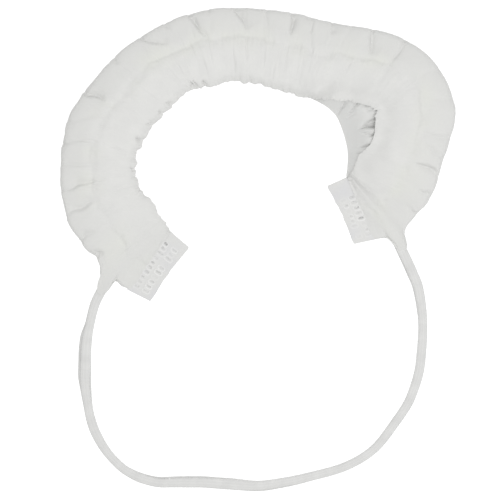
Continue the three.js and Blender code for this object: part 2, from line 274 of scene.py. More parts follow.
# %% [markdown]
# ## The pouch: one sheet of cloth
# The pouch is a flat sheet whose long middle line is drawn in, rolled round into an open C: far wall
# on the table, rounded outer fold, outer lobe, gather line, inner lobe and lip. So it is made as the
# real one is, from a flat grid. Each column of the grid is laid along one cross section of the pouch.
# The sections are measured rows, as in the solids, with more of them at the corners.

# %% Cross sections of the pouch
# outer: edge of the fold. lip: edge of the near wall. back: edge of the far wall, where it shows.
# height: top of the puff. gape: height of the lip. A lip of None lies evenly between its neighbours.
SECTIONS = [
    # outer, lip, back, height, gape
    ((-0.0507, -0.0545), (-0.0345, -0.0311), None, 0.0012, 0.0012),
    ((-0.0540, -0.0525), None, None, 0.0024, 0.0016),
    ((-0.0566, -0.0510), None, None, 0.0034, 0.0020),
    ((-0.0600, -0.0512), None, None, 0.0042, 0.0025),
    ((-0.0630, -0.0503), None, None, 0.0049, 0.0031),
    ((-0.0630, -0.0480), None, None, 0.0056, 0.0038),
    ((-0.0630, -0.0455), (-0.0385, -0.0255), None, 0.0064, 0.0046),
    ((-0.0645, -0.0417), (-0.0405, -0.0226), None, 0.0080, 0.0055),
    ((-0.0683, -0.0388), (-0.0425, -0.0197), None, 0.0100, 0.0066),
    ((-0.0713, -0.0344), (-0.0445, -0.0175), None, 0.0118, 0.0075),
    ((-0.0753, -0.0284), (-0.0468, -0.0150), None, 0.0132, 0.0081),
    ((-0.0774, -0.0213), (-0.0481, -0.0119), None, 0.0140, 0.0085),
    ((-0.0789, -0.0100), (-0.0490, -0.0063), None, 0.0148, 0.0090),
    ((-0.0786, 0.0000), (-0.0489, -0.0015), None, 0.0152, 0.0090),
    ((-0.0775, 0.0065), (-0.0481, 0.0013), None, 0.0155, 0.0090),
    ((-0.0763, 0.0130), (-0.0453, 0.0056), None, 0.0158, 0.0090),
    ((-0.0714, 0.0217), (-0.0425, 0.0109), None, 0.0160, 0.0090),
    ((-0.0648, 0.0303), (-0.0386, 0.0148), None, 0.0158, 0.0090),
    ((-0.0601, 0.0357), (-0.0353, 0.0185), None, 0.0155, 0.0090),
    ((-0.0545, 0.0413), (-0.0312, 0.0225), None, 0.0152, 0.0090),
    ((-0.0453, 0.0477), (-0.0267, 0.0257), None, 0.0150, 0.0090),
    ((-0.0363, 0.0525), (-0.0228, 0.0266), None, 0.0150, 0.0090),
    ((-0.0270, 0.0561), (-0.0181, 0.0275), None, 0.0150, 0.0090),
    ((-0.0105, 0.0586), (-0.0085, 0.0295), None, 0.0145, 0.0085),
    ((0.0106, 0.0571), (0.0059, 0.0267), None, 0.0150, 0.0085),
    ((0.0303, 0.0525), (0.0199, 0.0229), (0.0201, 0.0229), 0.0155, 0.0074),
    ((0.0491, 0.0493), (0.0343, 0.0216), (0.0284, 0.0184), 0.0160, 0.0084),
    ((0.0655, 0.0417), (0.0454, 0.0190), (0.0318, 0.0148), 0.0165, 0.0118),
    ((0.0762, 0.0278), (0.0478, 0.0165), (0.0337, 0.0105), 0.0165, 0.0122),
    ((0.0794, 0.0157), (0.0475, 0.0129), (0.0350, 0.0065), 0.0160, 0.0124),
    ((0.0771, 0.0053), (0.0471, 0.0080), (0.0361, 0.0013), 0.0150, 0.0120),
    ((0.0740, -0.0046), (0.0447, 0.0026), (0.0362, -0.0012), 0.0138, 0.0104),
    ((0.0714, -0.0137), (0.0415, -0.0007), (0.0361, -0.0039), 0.0118, 0.0076),
    ((0.0678, -0.0203), (0.0394, -0.0052), (0.0359, -0.0065), 0.0096, 0.0052),
    ((0.0638, -0.0244), (0.0380, -0.0075), (0.0356, -0.0083), 0.0076, 0.0038),
    ((0.0604, -0.0286), (0.0372, -0.0086), (0.0356, -0.0090), 0.0060, 0.0028),
    ((0.0592, -0.0309), None, None, 0.0050, 0.0022),
    ((0.0586, -0.0330), None, None, 0.0042, 0.0020),
    ((0.0556, -0.0342), None, None, 0.0035, 0.0018),
    ((0.0522, -0.0336), None, None, 0.0026, 0.0016),
    ((0.0493, -0.0338), None, None, 0.0018, 0.0014),
    ((0.0467, -0.0342), (0.0359, -0.0095), None, 0.0012, 0.0012),
]
print("pouch:", len(SECTIONS), "sections")

# %% [markdown]
# Settling will puff the fold out and draw the lip back by half a millimetre or so. To end up where they
# were measured, the fold starts a little further in and the lip a little further out.

# %% The pouch's edges, row by row
BACK_SHORTFALL = 0.001
END_HEIGHT = 0.0016
FULL_HEIGHT = 0.012
PUFF_ALLOWANCE = 0.0006
LIP_ALLOWANCE = 0.0008


def smoothstep(low, high, value):
    """A soft step from 0 at low to 1 at high."""
    t = np.clip((value - low) / (high - low), 0, 1)
    return t * t * (3 - 2 * t)


def filled(points):
    """The column with each None put evenly between the given points round it."""
    given = [i for i, p in enumerate(points) if p is not None]
    values = np.array([points[i] for i in given])
    return np.column_stack([np.interp(np.arange(len(points)), given, axis) for axis in values.T])


size_rows = np.array([row[3:] for row in SECTIONS])
outer_rows = np.array([row[0] for row in SECTIONS])
lip_rows = filled([row[1] for row in SECTIONS])
to_outer = outer_rows - lip_rows
to_outer /= np.linalg.norm(to_outer, axis=1)[:, None]
under_lip = lip_rows + BACK_SHORTFALL * to_outer
back_rows = np.array([row[2] or tuple(under) for row, under in zip(SECTIONS, under_lip)])
full_rows = smoothstep(END_HEIGHT, FULL_HEIGHT, size_rows[:, 0])[:, None]
outer_rows = outer_rows - PUFF_ALLOWANCE * full_rows * to_outer
lip_rows = lip_rows - LIP_ALLOWANCE * full_rows * to_outer
widths = np.linalg.norm(outer_rows - lip_rows, axis=1)
print("band:", mm(widths.min()), "to", mm(widths.max()), "mm wide")

# %% [markdown]
# Across a section the wall's line is a short profile in shares of the section's own height and width.
# Gathering pulls the middle line down, so the near wall shows two lobes, and the lip rolls under.
# Where the mouth is open, and at the flat ends, the near wall slopes down towards the lip.

# %% The profile of the wall
GATHER_ACROSS = 0.43
# tuck: distance in from the outer edge, in heights. across: the same, in band widths.
# rise: height above the table, in heights. sink: share of it that gathering takes away.
# slope: share of the way down to the lip, where the near wall slopes.
PROFILE = [
    # tuck, across, rise, sink, slope
    (0.70, 0.00, 0.00, 0.00, 0.00),
    (0.16, 0.00, 0.14, 0.00, 0.00),
    (0.00, 0.00, 0.45, 0.00, 0.00),
    (0.07, 0.00, 0.77, 0.00, 0.00),
    (0.42, 0.00, 0.91, 0.02, 0.00),
    (0.00, 0.34, 0.975, 0.03, 0.00),
    (0.00, GATHER_ACROSS, 1.00, 0.06, 0.00),
    (0.00, 0.53, 1.00, 0.02, 0.10),
    (0.00, 0.72, 1.00, 0.00, 0.42),
    (0.00, 0.90, 1.00, 0.02, 0.80),
]
HEM = 0.0012
# in, down: the rolled lip, in hem sizes from the lip's edge.
LIP_ROLL = [(0.0, 0.0), (0.15, 0.6), (0.7, 1.0), (1.3, 0.8)]
# The far wall has two knots of its own, before those of the profile.
FAR_KNOTS = 2
OUTER_KNOT = FAR_KNOTS + [row[:2] for row in PROFILE].index((0, 0))
GATHER_KNOT = FAR_KNOTS + [row[1] for row in PROFILE].index(GATHER_ACROSS)
LIP_KNOT = FAR_KNOTS + len(PROFILE)
KNOTS = LIP_KNOT + len(LIP_ROLL)
print("profile:", KNOTS, "knots, with the gather line at", GATHER_KNOT, "and the lip at", LIP_KNOT)

# %% The wall's line across a section
MOUTH_WIDTH = 0.004
CLOTH_CLEAR = 0.0002
ACROSS_POINTS = 400
ALONG_POINTS = 1200


def section_lines(along, across):
    """Places of the sheet: one column for each section number along, one row for each knot across."""
    outer = between_rows(outer_rows, along)
    lip = between_rows(lip_rows, along)
    back = between_rows(back_rows, along)
    height, gape = between_rows(size_rows, along).T
    width = np.linalg.norm(lip - outer, axis=1)
    depth = np.linalg.norm(back - outer, axis=1)
    full = smoothstep(END_HEIGHT, FULL_HEIGHT, height)
    under_fold = PROFILE[0][0] * height
    knots = [(depth, 0 * height, 0), ((depth + under_fold) / 2, 0 * height, 0)]
    open_share = smoothstep(0, MOUTH_WIDTH, np.linalg.norm(back - lip, axis=1))
    sloping = np.maximum(open_share, 1 - full)
    for tuck, share, rise, sink, slope in PROFILE:
        up = height * rise * (1 - sink * full) - slope * sloping * (height - gape)
        knots.append((tuck * height + share * width, up, rise))
    for inward, down in LIP_ROLL:
        knots.append((width - HEM * inward, np.maximum(gape - HEM * down * full, 0), 1))
    reach = between_rows(np.array([k[0] for k in knots]), across)
    up = between_rows(np.array([k[1] for k in knots]), across)
    near = between_rows(np.array([k[2] for k in knots]), across)[:, None, None]
    to_lip = ((lip - outer) / width[:, None])[None]
    to_back = ((back - outer) / depth[:, None])[None]
    inward = to_back * (1 - near) + to_lip * near
    inward /= np.linalg.norm(inward, axis=2)[:, :, None]
    place = outer[None] + inward * reach[:, :, None]
    return np.dstack([place, CLOTH_CLEAR + up])


dense_across = np.linspace(0, KNOTS - 1, ACROSS_POINTS)
dense_along = np.linspace(0, len(SECTIONS) - 1, ALONG_POINTS)
middle = ALONG_POINTS // 2
middle_section = section_lines(dense_along[middle:middle + 2], dense_across)[:, 0]
print("middle section:", mm(middle_section[:, 2].max()), "mm high")

# %% [markdown]
# Cloth can't be cut into uneven cells and still bend evenly, so the rows and columns of the grid are set
# at equal steps: the rows along the middle section, the columns along the band from end to end.

# %% Even rows and columns of cloth
COLUMNS = 440
ROWS_ACROSS = 54

across_at, cut_width = evenly_along(middle_section, ROWS_ACROSS + 1)
across_rows = np.interp(across_at, np.arange(ACROSS_POINTS), dense_across)
gather_line, outer_line = section_lines(dense_along, np.array([GATHER_KNOT, OUTER_KNOT]))
along_at, gather_length = evenly_along((gather_line + outer_line) / 2, COLUMNS + 1)
along_rows = np.interp(along_at, np.arange(ALONG_POINTS), dense_along)
sheet = section_lines(along_rows, across_rows)
print("sheet:", sheet.shape, "width", round(cut_width, 4), "m, middle", round(gather_length, 4), "m")

# %% [markdown]
# ### Folds
# The outer lobe is drawn in by creases that run from its edge towards the gather line.
# Each is a measured line on the table. The cloth sinks towards it along its own normals, gently on
# one side and steeply on the other, as in a pleat, so a puff is left between each two of them.

# %% The creases of the outer lobe
# start: at the outer edge. tip: where the crease fades out. depth: how far it draws the cloth in.
# before, after: how wide its shoulder is on each side, walking from the left weld to the right one.
CREASES = [
    # start, tip, depth, before, after
    ((-0.0573, -0.0512), (-0.0560, -0.0490), 0.0020, 0.0010, 0.0010),
    ((-0.0649, -0.0411), (-0.0610, -0.0400), 0.0029, 0.0023, 0.0008),
    ((-0.0705, -0.0347), (-0.0641, -0.0311), 0.0015, 0.0025, 0.0008),
    ((-0.0693, -0.0214), (-0.0641, -0.0190), 0.0018, 0.0030, 0.0010),
    ((-0.0713, -0.0131), (-0.0649, -0.0108), 0.0018, 0.0030, 0.0010),
    ((-0.0785, -0.0051), (-0.0641, -0.0039), 0.0009, 0.0030, 0.0018),
    ((-0.0773, 0.0041), (-0.0641, 0.0049), 0.0010, 0.0030, 0.0018),
    ((-0.0761, 0.0129), (-0.0613, 0.0149), 0.0010, 0.0028, 0.0018),
    ((-0.0677, 0.0241), (-0.0605, 0.0207), 0.0029, 0.0028, 0.0008),
    ((-0.0577, 0.0377), (-0.0545, 0.0353), 0.0015, 0.0023, 0.0008),
    ((-0.0473, 0.0461), (-0.0357, 0.0425), 0.0024, 0.0028, 0.0008),
    ((-0.0369, 0.0517), (-0.0349, 0.0485), 0.0017, 0.0016, 0.0008),
    ((-0.0277, 0.0549), (-0.0193, 0.0457), 0.0032, 0.0023, 0.0008),
    ((-0.0201, 0.0575), (-0.0189, 0.0549), 0.0010, 0.0010, 0.0010),
    ((-0.0085, 0.0581), (-0.0045, 0.0485), 0.0031, 0.0048, 0.0008),
    ((0.0039, 0.0577), (0.0035, 0.0497), 0.0013, 0.0021, 0.0008),
    ((0.0139, 0.0561), (0.0135, 0.0469), 0.0031, 0.0025, 0.0008),
    ((0.0215, 0.0541), (0.0215, 0.0389), 0.0010, 0.0008, 0.0034),
    ((0.0303, 0.0525), (0.0291, 0.0465), 0.0022, 0.0021, 0.0008),
    ((0.0367, 0.0513), (0.0359, 0.0457), 0.0007, 0.0018, 0.0008),
    ((0.0463, 0.0493), (0.0439, 0.0385), 0.0022, 0.0025, 0.0008),
    ((0.0583, 0.0449), (0.0515, 0.0329), 0.0017, 0.0024, 0.0010),
    ((0.0719, 0.0337), (0.0635, 0.0297), 0.0009, 0.0039, 0.0008),
    ((0.0785, 0.0211), (0.0640, 0.0230), 0.0008, 0.0034, 0.0008),
    ((0.0775, 0.0060), (0.0651, 0.0081), 0.0011, 0.0030, 0.0008),
    ((0.0743, -0.0020), (0.0651, 0.0041), 0.0015, 0.0023, 0.0008),
    ((0.0711, -0.0079), (0.0623, -0.0035), 0.0027, 0.0023, 0.0008),
    ((0.0675, -0.0165), (0.0639, -0.0140), 0.0020, 0.0021, 0.0008),
    ((0.0631, -0.0239), (0.0600, -0.0215), 0.0014, 0.0018, 0.0008),
    ((0.0524, -0.0336), (0.0512, -0.0312), 0.0018, 0.0010, 0.0010),
]
# How far each knot across the section follows a crease, from the far wall's edge to the rolled lip.
CREASE_FOLLOW = [0, 0, 0, 0, 0.05, 0.6, 1, 1, 1, 1, 1, 1, 1, 1, 1, 1]
print("creases:", len(CREASES))

# %% Draw the cloth in along the creases
CREASE_PAST_EDGE = 0.012
CREASE_ROUND = 0.0002
CREASE_BEND = 0.0005
CREASE_WAVES = 5
CREASE_TURN = 400
CREASE_NARROWS = 0.5


def surface_normals(points):
    """Unit normals of a grid of points, pointing out of the pouch."""
    down = np.gradient(points, axis=0)
    along = np.gradient(points, axis=1)
    normal = np.cross(down, along)
    return normal / np.maximum(np.linalg.norm(normal, axis=2), TINY)[:, :, None]


def crease_draw(points, crease, narrows=CREASE_NARROWS):
    """How far one crease draws each point in. Its shoulders lose the share narrows towards the tip."""
    start, tip, depth, before, after = crease
    start, tip = np.array(start), np.array(tip)
    reach = np.linalg.norm(tip - start)
    run_in = (tip - start) / reach
    rel = points[:, :, :2] - start
    share = rel @ run_in / reach
    aside = rel @ np.array([-run_in[1], run_in[0]])
    aside = aside + CREASE_BEND * np.sin(CREASE_WAVES * share + CREASE_TURN * start.sum())
    narrowing = 1 - narrows * np.clip(share, 0, 1)
    shoulder = np.where(aside > 0, before, after) * narrowing
    fade = np.sqrt(np.clip(1 - share, 0, 1)) * smoothstep(-CREASE_PAST_EDGE, 0, share * reach)
    return depth * fade * np.exp((CREASE_ROUND - np.hypot(aside, CREASE_ROUND)) / shoulder)


follow = between_rows(CREASE_FOLLOW, across_rows)[:, None]
draw = sum(crease_draw(sheet, crease) for crease in CREASES) * follow
sheet = sheet - surface_normals(sheet) * draw[:, :, None]
sheet[:, :, 2] = np.maximum(sheet[:, :, 2], CLOTH_CLEAR)
print("creases draw the cloth in by up to", mm(draw.max()), "mm")

# %% [markdown]
# ### Where the strap leaves
# At each end the hem of the cloth runs out into the strap. The strap's pull is a brush: points near
# the line of the strap slide along it and down onto it, most on the line and less to either side.

# %% Draw the cloth out along the strap
# root: on the outer edge. along: the strap's direction there. pull: how far the edge is drawn out.
STRAP_PULLS = [
    # root, along, pull, half width, depth
    ((-0.0602, -0.0506), (-0.40, -0.92), 0.0056, 0.0031, 0.0060),
    ((0.0558, -0.0337), (0.42, -0.91), 0.0056, 0.0031, 0.0060),
]
SLEEVE_TOP = 0.0014
PULL_FLATNESS = 3
PULL_SOFTNESS = 0.8


def strap_pull(points, row):
    """The points after one end of the strap has drawn them out."""
    root, along, pull, half_width, depth = row
    along = np.array(along) / np.linalg.norm(along)
    rel = points[:, :, :2] - np.array(root)
    ahead = rel @ along
    aside = np.abs(rel @ np.array([-along[1], along[0]])) / half_width
    weight = np.clip(1 - aside ** PULL_FLATNESS, 0, 1) ** PULL_SOFTNESS * smoothstep(-depth, 0, ahead)
    drawn = points + (pull * weight)[:, :, None] * np.array([along[0], along[1], 0])
    drawn[:, :, 2] -= weight * np.maximum(points[:, :, 2] - SLEEVE_TOP, 0)
    return drawn


for row in STRAP_PULLS:
    sheet = strap_pull(sheet, row)
print("strap pulls:", len(STRAP_PULLS))

# %% [markdown]
# ### A grid of cloth as a mesh
# A flat grid is made by one operator, and its points are then carried to their places.
# The flat grid's own coordinates are kept as a UV map in metres, so a pattern can follow the cloth.

# %% Carry a flat grid to its places
HALF_GRID = 0.5


def cloth_piece(name, points, flat_size):
    """A grid of cloth at the given points, and the row and column of each vertex."""
    rows, columns = points.shape[:2]
    bm = bmesh.new()
    bmesh.ops.create_grid(bm, x_segments=columns - 1, y_segments=rows - 1, size=HALF_GRID)
    bmesh.ops.reverse_faces(bm, faces=bm.faces)
    piece = new_piece(name, bm)
    mesh = piece.data
    flat = np.empty(len(mesh.vertices) * 3)
    mesh.vertices.foreach_get("co", flat)
    share = flat.reshape(-1, 3)[:, :2] + HALF_GRID
    column = np.rint(share[:, 0] * (columns - 1)).astype(int)
    row = np.rint(share[:, 1] * (rows - 1)).astype(int)
    mesh.vertices.foreach_set("co", points[row, column].ravel())
    corner = np.empty(len(mesh.loops), dtype=np.int32)
    mesh.loops.foreach_get("vertex_index", corner)
    mesh.uv_layers.new(name="flat").uv.foreach_set("vector", (share[corner] * flat_size).ravel())
    mesh.update()
    return piece, row, column


print("grid of cloth:", ROWS_ACROSS, "by", COLUMNS, "faces")

# %% [markdown]
# ### Let the cloth settle
# A gathered sheet holds more cloth than the line it is gathered on, so it buckles into small puffs.
# That is hard to draw and easy to simulate: the sheet grows a little and swells outwards, while the far
# wall, the gather line, the lip and the welds hold it. The copy that settles is twenty times larger,
# because the solver is tuned for clothes and this pouch is hand-sized, and only the change comes back.

# %% What holds the cloth
# How firmly each knot across the section is held, from the far wall's edge to the rolled lip.
HOLD = [1, 1, 1, 0.6, 0.4, 0.12, 0.0, 0.1, 0.7, 0.2, 0.14, 0.22, 0.36, 0.6, 0.7, 0.7]
HOLD_ENDS = 30

hold = np.repeat(between_rows(HOLD, across_rows)[:, None], COLUMNS + 1, axis=1)
from_end = np.minimum(np.arange(COLUMNS + 1), COLUMNS - np.arange(COLUMNS + 1))
hold = np.maximum(hold, np.clip(1 - from_end / HOLD_ENDS, 0, 1))
print("held: a mean share of", round(hold.mean(), 2))

# %% The cloth solver
SETTLE_SCALE = 20
SETTLE_FRAMES = 16
GROWTH = 0.05
PUFF_PRESSURE = 0.3
HOLD_LEVELS = 20
SOLVER_SETTINGS = {
    "quality": 5,
    "mass": 0.15,
    "air_damping": 3,
    "tension_stiffness": 25,
    "compression_stiffness": 25,
    "shear_stiffness": 10,
    "bending_stiffness": 0.05,
    "shrink_min": -GROWTH,
    "vertex_group_mass": "held",
    "pin_stiffness": 1,
    "use_pressure": True,
    "uniform_pressure_force": PUFF_PRESSURE,
}


def settle(points):
    """The grid's points after the cloth has grown and settled between what holds it."""
    flat_size = (gather_length, cut_width)
    helper, row, column = cloth_piece("settling_cloth", points * SETTLE_SCALE, flat_size)
    group = helper.vertex_groups.new(name="held")
    levels = np.round(hold[row, column] * HOLD_LEVELS) / HOLD_LEVELS
    for level in np.unique(levels):
        group.add(np.flatnonzero(levels == level).tolist(), float(level), "REPLACE")
    solver = helper.modifiers.new("cloth", "CLOTH")
    for name, value in SOLVER_SETTINGS.items():
        setattr(solver.settings, name, value)
    solver.settings.effector_weights.gravity = 0
    solver.collision_settings.use_collision = False
    for frame_number in range(1, SETTLE_FRAMES + 1):
        scene.frame_set(frame_number)
    settled = helper.evaluated_get(bpy.context.evaluated_depsgraph_get()).data
    end = np.empty(len(row) * 3)
    settled.vertices.foreach_get("co", end)
    bpy.data.objects.remove(helper)
    places = np.empty_like(points)
    places[row, column] = end.reshape(-1, 3) / SETTLE_SCALE
    return places


print("cloth solver:", SETTLE_FRAMES, "frames at", SETTLE_SCALE, "times the size")

# %% [markdown]
# The elastic is slacker at both ends and round the right lobe, where the cloth is smoother. A table says
# how slack it is, and there the change is averaged along the cloth before it is used.

# %% Settle the sheet
SETTLE_CAP = 0.0022
SMOOTH_ROWS = 2
SLACK_COLUMNS = 7
# section: number in the table of sections. slack: share of the small gathers that is missing there.
SLACK = [
    # section, slack
    (0, 1.0), (7, 0.5), (12, 0.25), (25, 0.30), (27.5, 0.8), (33, 0.8), (36, 1.0), (41, 1.0),
]


def slack_at(sections):
    """How slack the elastic is at those section numbers."""
    return np.interp(sections, *np.array(SLACK).T)


def averaged(moved, reach):
    """The movement averaged over neighbouring rows."""
    rows = np.arange(len(moved))
    weight = np.exp(-((rows[:, None] - rows[None]) / reach) ** 2)
    return np.tensordot(weight / weight.sum(axis=1)[:, None], moved, axes=1)


moved = averaged(settle(sheet) - sheet, SMOOTH_ROWS)
evened = averaged(moved.swapaxes(0, 1), SLACK_COLUMNS).swapaxes(0, 1)
slack = slack_at(along_rows)[None, :, None]
moved = moved * (1 - slack) + evened * slack
distance = np.linalg.norm(moved, axis=2)
sheet = sheet + moved * np.minimum(1, SETTLE_CAP / np.maximum(distance, TINY))[:, :, None]
sheet[:, :, 2] = np.maximum(sheet[:, :, 2], CLOTH_CLEAR)
print("settled: moved up to", mm(distance.max()), "mm, mean", mm(distance.mean()), "mm")

# %% [markdown]
# ### Fine gathers
# The solver's grid is too coarse for the smallest gathers, a millimetre or two apart. So the settled
# sheet is divided once more, with the same smooth tables, and the gathers are raised on it by noise
# that is long across the cloth and short along it. They fade away from the line that draws them in.

# %% Divide the settled sheet
FINER = 2

fine_rows = np.linspace(0, ROWS_ACROSS, FINER * ROWS_ACROSS + 1)
fine_columns = np.linspace(0, COLUMNS, FINER * COLUMNS + 1)
cloth = between_rows(sheet, fine_rows)
cloth = between_rows(cloth.swapaxes(0, 1), fine_columns).swapaxes(0, 1)
cloth_across = fine_rows / ROWS_ACROSS * cut_width
cloth_along = fine_columns / COLUMNS * gather_length
knot_across = np.interp(fine_rows, np.arange(ROWS_ACROSS + 1), across_rows)
section_along = np.interp(fine_columns, np.arange(COLUMNS + 1), along_rows)
fold_at, gather_at, lip_at = (
    float(np.interp(knot, knot_across, cloth_across)) for knot in (OUTER_KNOT, GATHER_KNOT, LIP_KNOT)
)
print("cloth:", cloth.shape[:2], "points, gather line at", round(gather_at, 4), "m across and lip at",
      round(lip_at, 4), "m")

# %% Gathers at the gather line, the lip and the fold
# along, across: size of the gathers each way. depth: their height. centre: where they are deepest
# across the cloth. before, after: how far they reach to each side of it.
GATHERS = [
    # along, across, depth, centre, before, after
    (0.0010, 0.0060, 0.00030, gather_at, 0.0022, 0.0032),
    (0.0017, 0.0140, 0.00011, gather_at, 0.0050, 0.0090),
    (0.0011, 0.0030, 0.00036, lip_at, 0.0020, 0.0040),
    (0.0024, 0.0060, 0.00036, lip_at, 0.0034, 0.0040),
    (0.0035, 0.0060, 0.00014, fold_at, 0.0080, 0.0120),
]
SEED_STEP = 7.3
TIGHT_SIZE = 0.011
TIGHT_CHANGE = 1.4
TIGHT_SEED = 57
SLACK_FLATTENS = 0.7


def cloth_noise(along_size, across_size, seed):
    """Smooth noise on the flat cloth, from -1 to 1, with its own size each way."""
    level = seed * SEED_STEP
    return np.array([[noise.noise((u / along_size, v / across_size, level)) for u in cloth_along]
                     for v in cloth_across])


def noise_along(size, seed):
    """Smooth noise along the cloth, from -1 to 1, the same all the way across it."""
    return np.array([noise.noise((u / size, 0, seed)) for u in cloth_along])


def gathered(table, first_seed):
    """Height of all the gathers in a table."""
    height = np.zeros(cloth.shape[:2])
    for seed, (along, across, depth, centre, before, after) in enumerate(table, start=first_seed):
        off = cloth_across - centre
        fade = np.exp(-np.where(off < 0, -off / before, off / after))
        height += depth * fade[:, None] * cloth_noise(along, across, seed) * tightness
    return height


tightness = 1 + TIGHT_CHANGE * noise_along(TIGHT_SIZE, TIGHT_SEED)
raised = gathered(GATHERS, 0) * (1 - SLACK_FLATTENS * slack_at(section_along))
print("gathers up to", mm(np.abs(raised).max()), "mm")

# %% [markdown]
# The gather line itself is a shallow groove that puckers where the elastic pulls harder, and the whole
# cloth is faintly crumpled.

# %% The puckered groove and the crumples
THREAD_GROOVE = 0.00022
THREAD_HALF = 0.0011
PUCKER_SIZE = 0.003
PUCKER_MEAN = 0.7
PUCKER_CHANGE = 1.6
PUCKER_MOST = 2
PUCKER_SEED = 71
CRUMPLES = [
    # size, depth
    (0.0040, 0.00012),
    (0.0015, 0.00004),
]
CRUMPLE_SEED = len(GATHERS)

puckers = np.clip(PUCKER_MEAN + PUCKER_CHANGE * noise_along(PUCKER_SIZE, PUCKER_SEED), 0, PUCKER_MOST)
groove = np.exp(-((cloth_across - gather_at) / THREAD_HALF) ** 2)[:, None]
raised -= THREAD_GROOVE * groove * puckers
for seed, (size, depth) in enumerate(CRUMPLES, start=CRUMPLE_SEED):
    raised += depth * cloth_noise(size, size, seed)
print("groove up to", mm(THREAD_GROOVE * puckers.max()), "mm deep")

# %% [markdown]
# Beside a weld the flattened cloth has to spread out again, so it lies in soft pleats that start at
# the weld, with a few small puffs among them.

# %% Pleats and puffs beside the welds
# along, across: size of the pleats each way. depth: their height. reach: how far they go from the weld.
WELD_PLEATS = {"along": 0.0070, "across": 0.0014, "depth": 0.0008, "reach": 0.0045}
WELD_SEED = CRUMPLE_SEED + len(CRUMPLES)
WELD_FLAT = 0.0025
WELD_PLAIN = 0.014
PUFF_SIZE = 0.0045
PUFF_DEPTH = 0.0008
PUFF_REACH = 0.009
PUFF_SEED = 33


def place_noise(places, size, seed):
    """Smooth noise by each point's place on the table, from -1 to 1."""
    return np.array([[noise.noise((x / size, y / size, seed)) for x, y in line] for line in places])


from_weld = np.minimum(cloth_along, gather_length - cloth_along)
off_weld = smoothstep(0, WELD_FLAT, from_weld)
off_fold = smoothstep(fold_at, fold_at + WELD_PLAIN, cloth_across)[:, None]
pleats = cloth_noise(WELD_PLEATS["along"], WELD_PLEATS["across"], WELD_SEED)
raised += WELD_PLEATS["depth"] * np.exp(-from_weld / WELD_PLEATS["reach"]) * off_weld * off_fold * pleats
puffs = place_noise(cloth[:, :, :2], PUFF_SIZE, PUFF_SEED)
raised += PUFF_DEPTH * np.exp(-from_weld / PUFF_REACH) * off_weld * puffs
print("beside the welds: pleats and puffs of up to", mm(PUFF_DEPTH), "mm")

# %% [markdown]
# The lip's elastic crimps the edge: here and there it nips in a short dark fold just inside the lip, and
# the edge itself runs in a small wave.

# %% Crimp the lip and raise everything on the cloth
# start: on the lip. The other columns are those of the creases of the outer lobe.
LIP_CREASES = [
    # start, tip, depth, before, after
    ((-0.0259, 0.0258), (-0.0267, 0.0289), 0.0016, 0.0004, 0.0004),
    ((-0.0247, 0.0263), (-0.0249, 0.0290), 0.0014, 0.0004, 0.0004),
    ((-0.0209, 0.0270), (-0.0210, 0.0293), 0.0012, 0.0004, 0.0004),
    ((-0.0343, 0.0190), (-0.0358, 0.0203), 0.0014, 0.0005, 0.0005),
    ((-0.0378, 0.0157), (-0.0391, 0.0166), 0.0012, 0.0004, 0.0004),
    ((-0.0418, 0.0106), (-0.0436, 0.0119), 0.0014, 0.0005, 0.0005),
    ((-0.0450, 0.0050), (-0.0482, 0.0062), 0.0020, 0.0016, 0.0005),
    ((-0.0485, -0.0062), (-0.0502, -0.0060), 0.0014, 0.0005, 0.0005),
]
LIP_FADE = 0.7
RUFFLE_PITCH = 0.0042
RUFFLE_DEPTH = 0.0010
RUFFLE_REACH = 0.006
RUFFLE_SEED = 91


def row_at_knot(knot):
    """The cloth's row that lies nearest to a knot of the profile."""
    return cloth[np.argmin(np.abs(knot_across - knot))]


by_lip = (knot_across > GATHER_KNOT) * smoothstep(LIP_KNOT, LIP_KNOT - LIP_FADE, knot_across)
raised -= sum(crease_draw(cloth, crease) for crease in LIP_CREASES) * by_lip[:, None]
raised *= smoothstep(OUTER_KNOT - 1, OUTER_KNOT, knot_across)[:, None]
inward = row_at_knot(LIP_KNOT) - row_at_knot(OUTER_KNOT)
inward[:, 2] = 0
inward /= np.linalg.norm(inward, axis=1)[:, None]
ruffle = RUFFLE_DEPTH * noise_along(RUFFLE_PITCH, RUFFLE_SEED)
ruffle = ruffle * smoothstep(lip_at - RUFFLE_REACH, lip_at, cloth_across)[:, None]
cloth = cloth + surface_normals(cloth) * raised[:, :, None] + inward[None] * ruffle[:, :, None]
print("raised: from", mm(raised.min()), "to", mm(raised.max()), "mm")

# %% [markdown]
# ### The outer wall
# Seen from the side, the pleats run on round the fold and down to the table, and the wall bulges between
# them. This comes after settling, so that it leaves the puffs above as they are.

# %% Pleats and bulges down the outer wall
# How far each knot across the section follows a crease here, from the far wall's edge to the lip.
WALL_FOLLOW = [0, 0, 0.1, 0.85, 0, 0, 0, 0, 0, 0, 0, 0, 0, 0, 0, 0]
WALL_GATHERS = [
    # along, across, depth, centre, before, after
    (0.0045, 0.0200, 0.00110, fold_at - 0.0045, 0.0040, 0.0025),
    (0.0015, 0.0100, 0.00028, fold_at - 0.0030, 0.0040, 0.0020),
]
WALL_SEED = 20

wall_follow = between_rows(WALL_FOLLOW, knot_across)[:, None]
wall = -sum(crease_draw(cloth, crease) for crease in CREASES) * wall_follow
on_wall = smoothstep(OUTER_KNOT - 2, OUTER_KNOT - 1, knot_across)[:, None]
wall += gathered(WALL_GATHERS, WALL_SEED) * on_wall
cloth = cloth + surface_normals(cloth) * wall[:, :, None]
cloth[:, :, 2] = np.maximum(cloth[:, :, 2], CLOTH_CLEAR)
print("outer wall: in by up to", mm(-wall.min()), "mm, out by up to", mm(wall.max()), "mm")

# %% [markdown]
# ### The open mouth on the right
# There the lip stands back and the far wall shows. It is gathered as well: it climbs from the table
# until it is just under the lip, and narrow creases fan out from there, drawn as the others are.

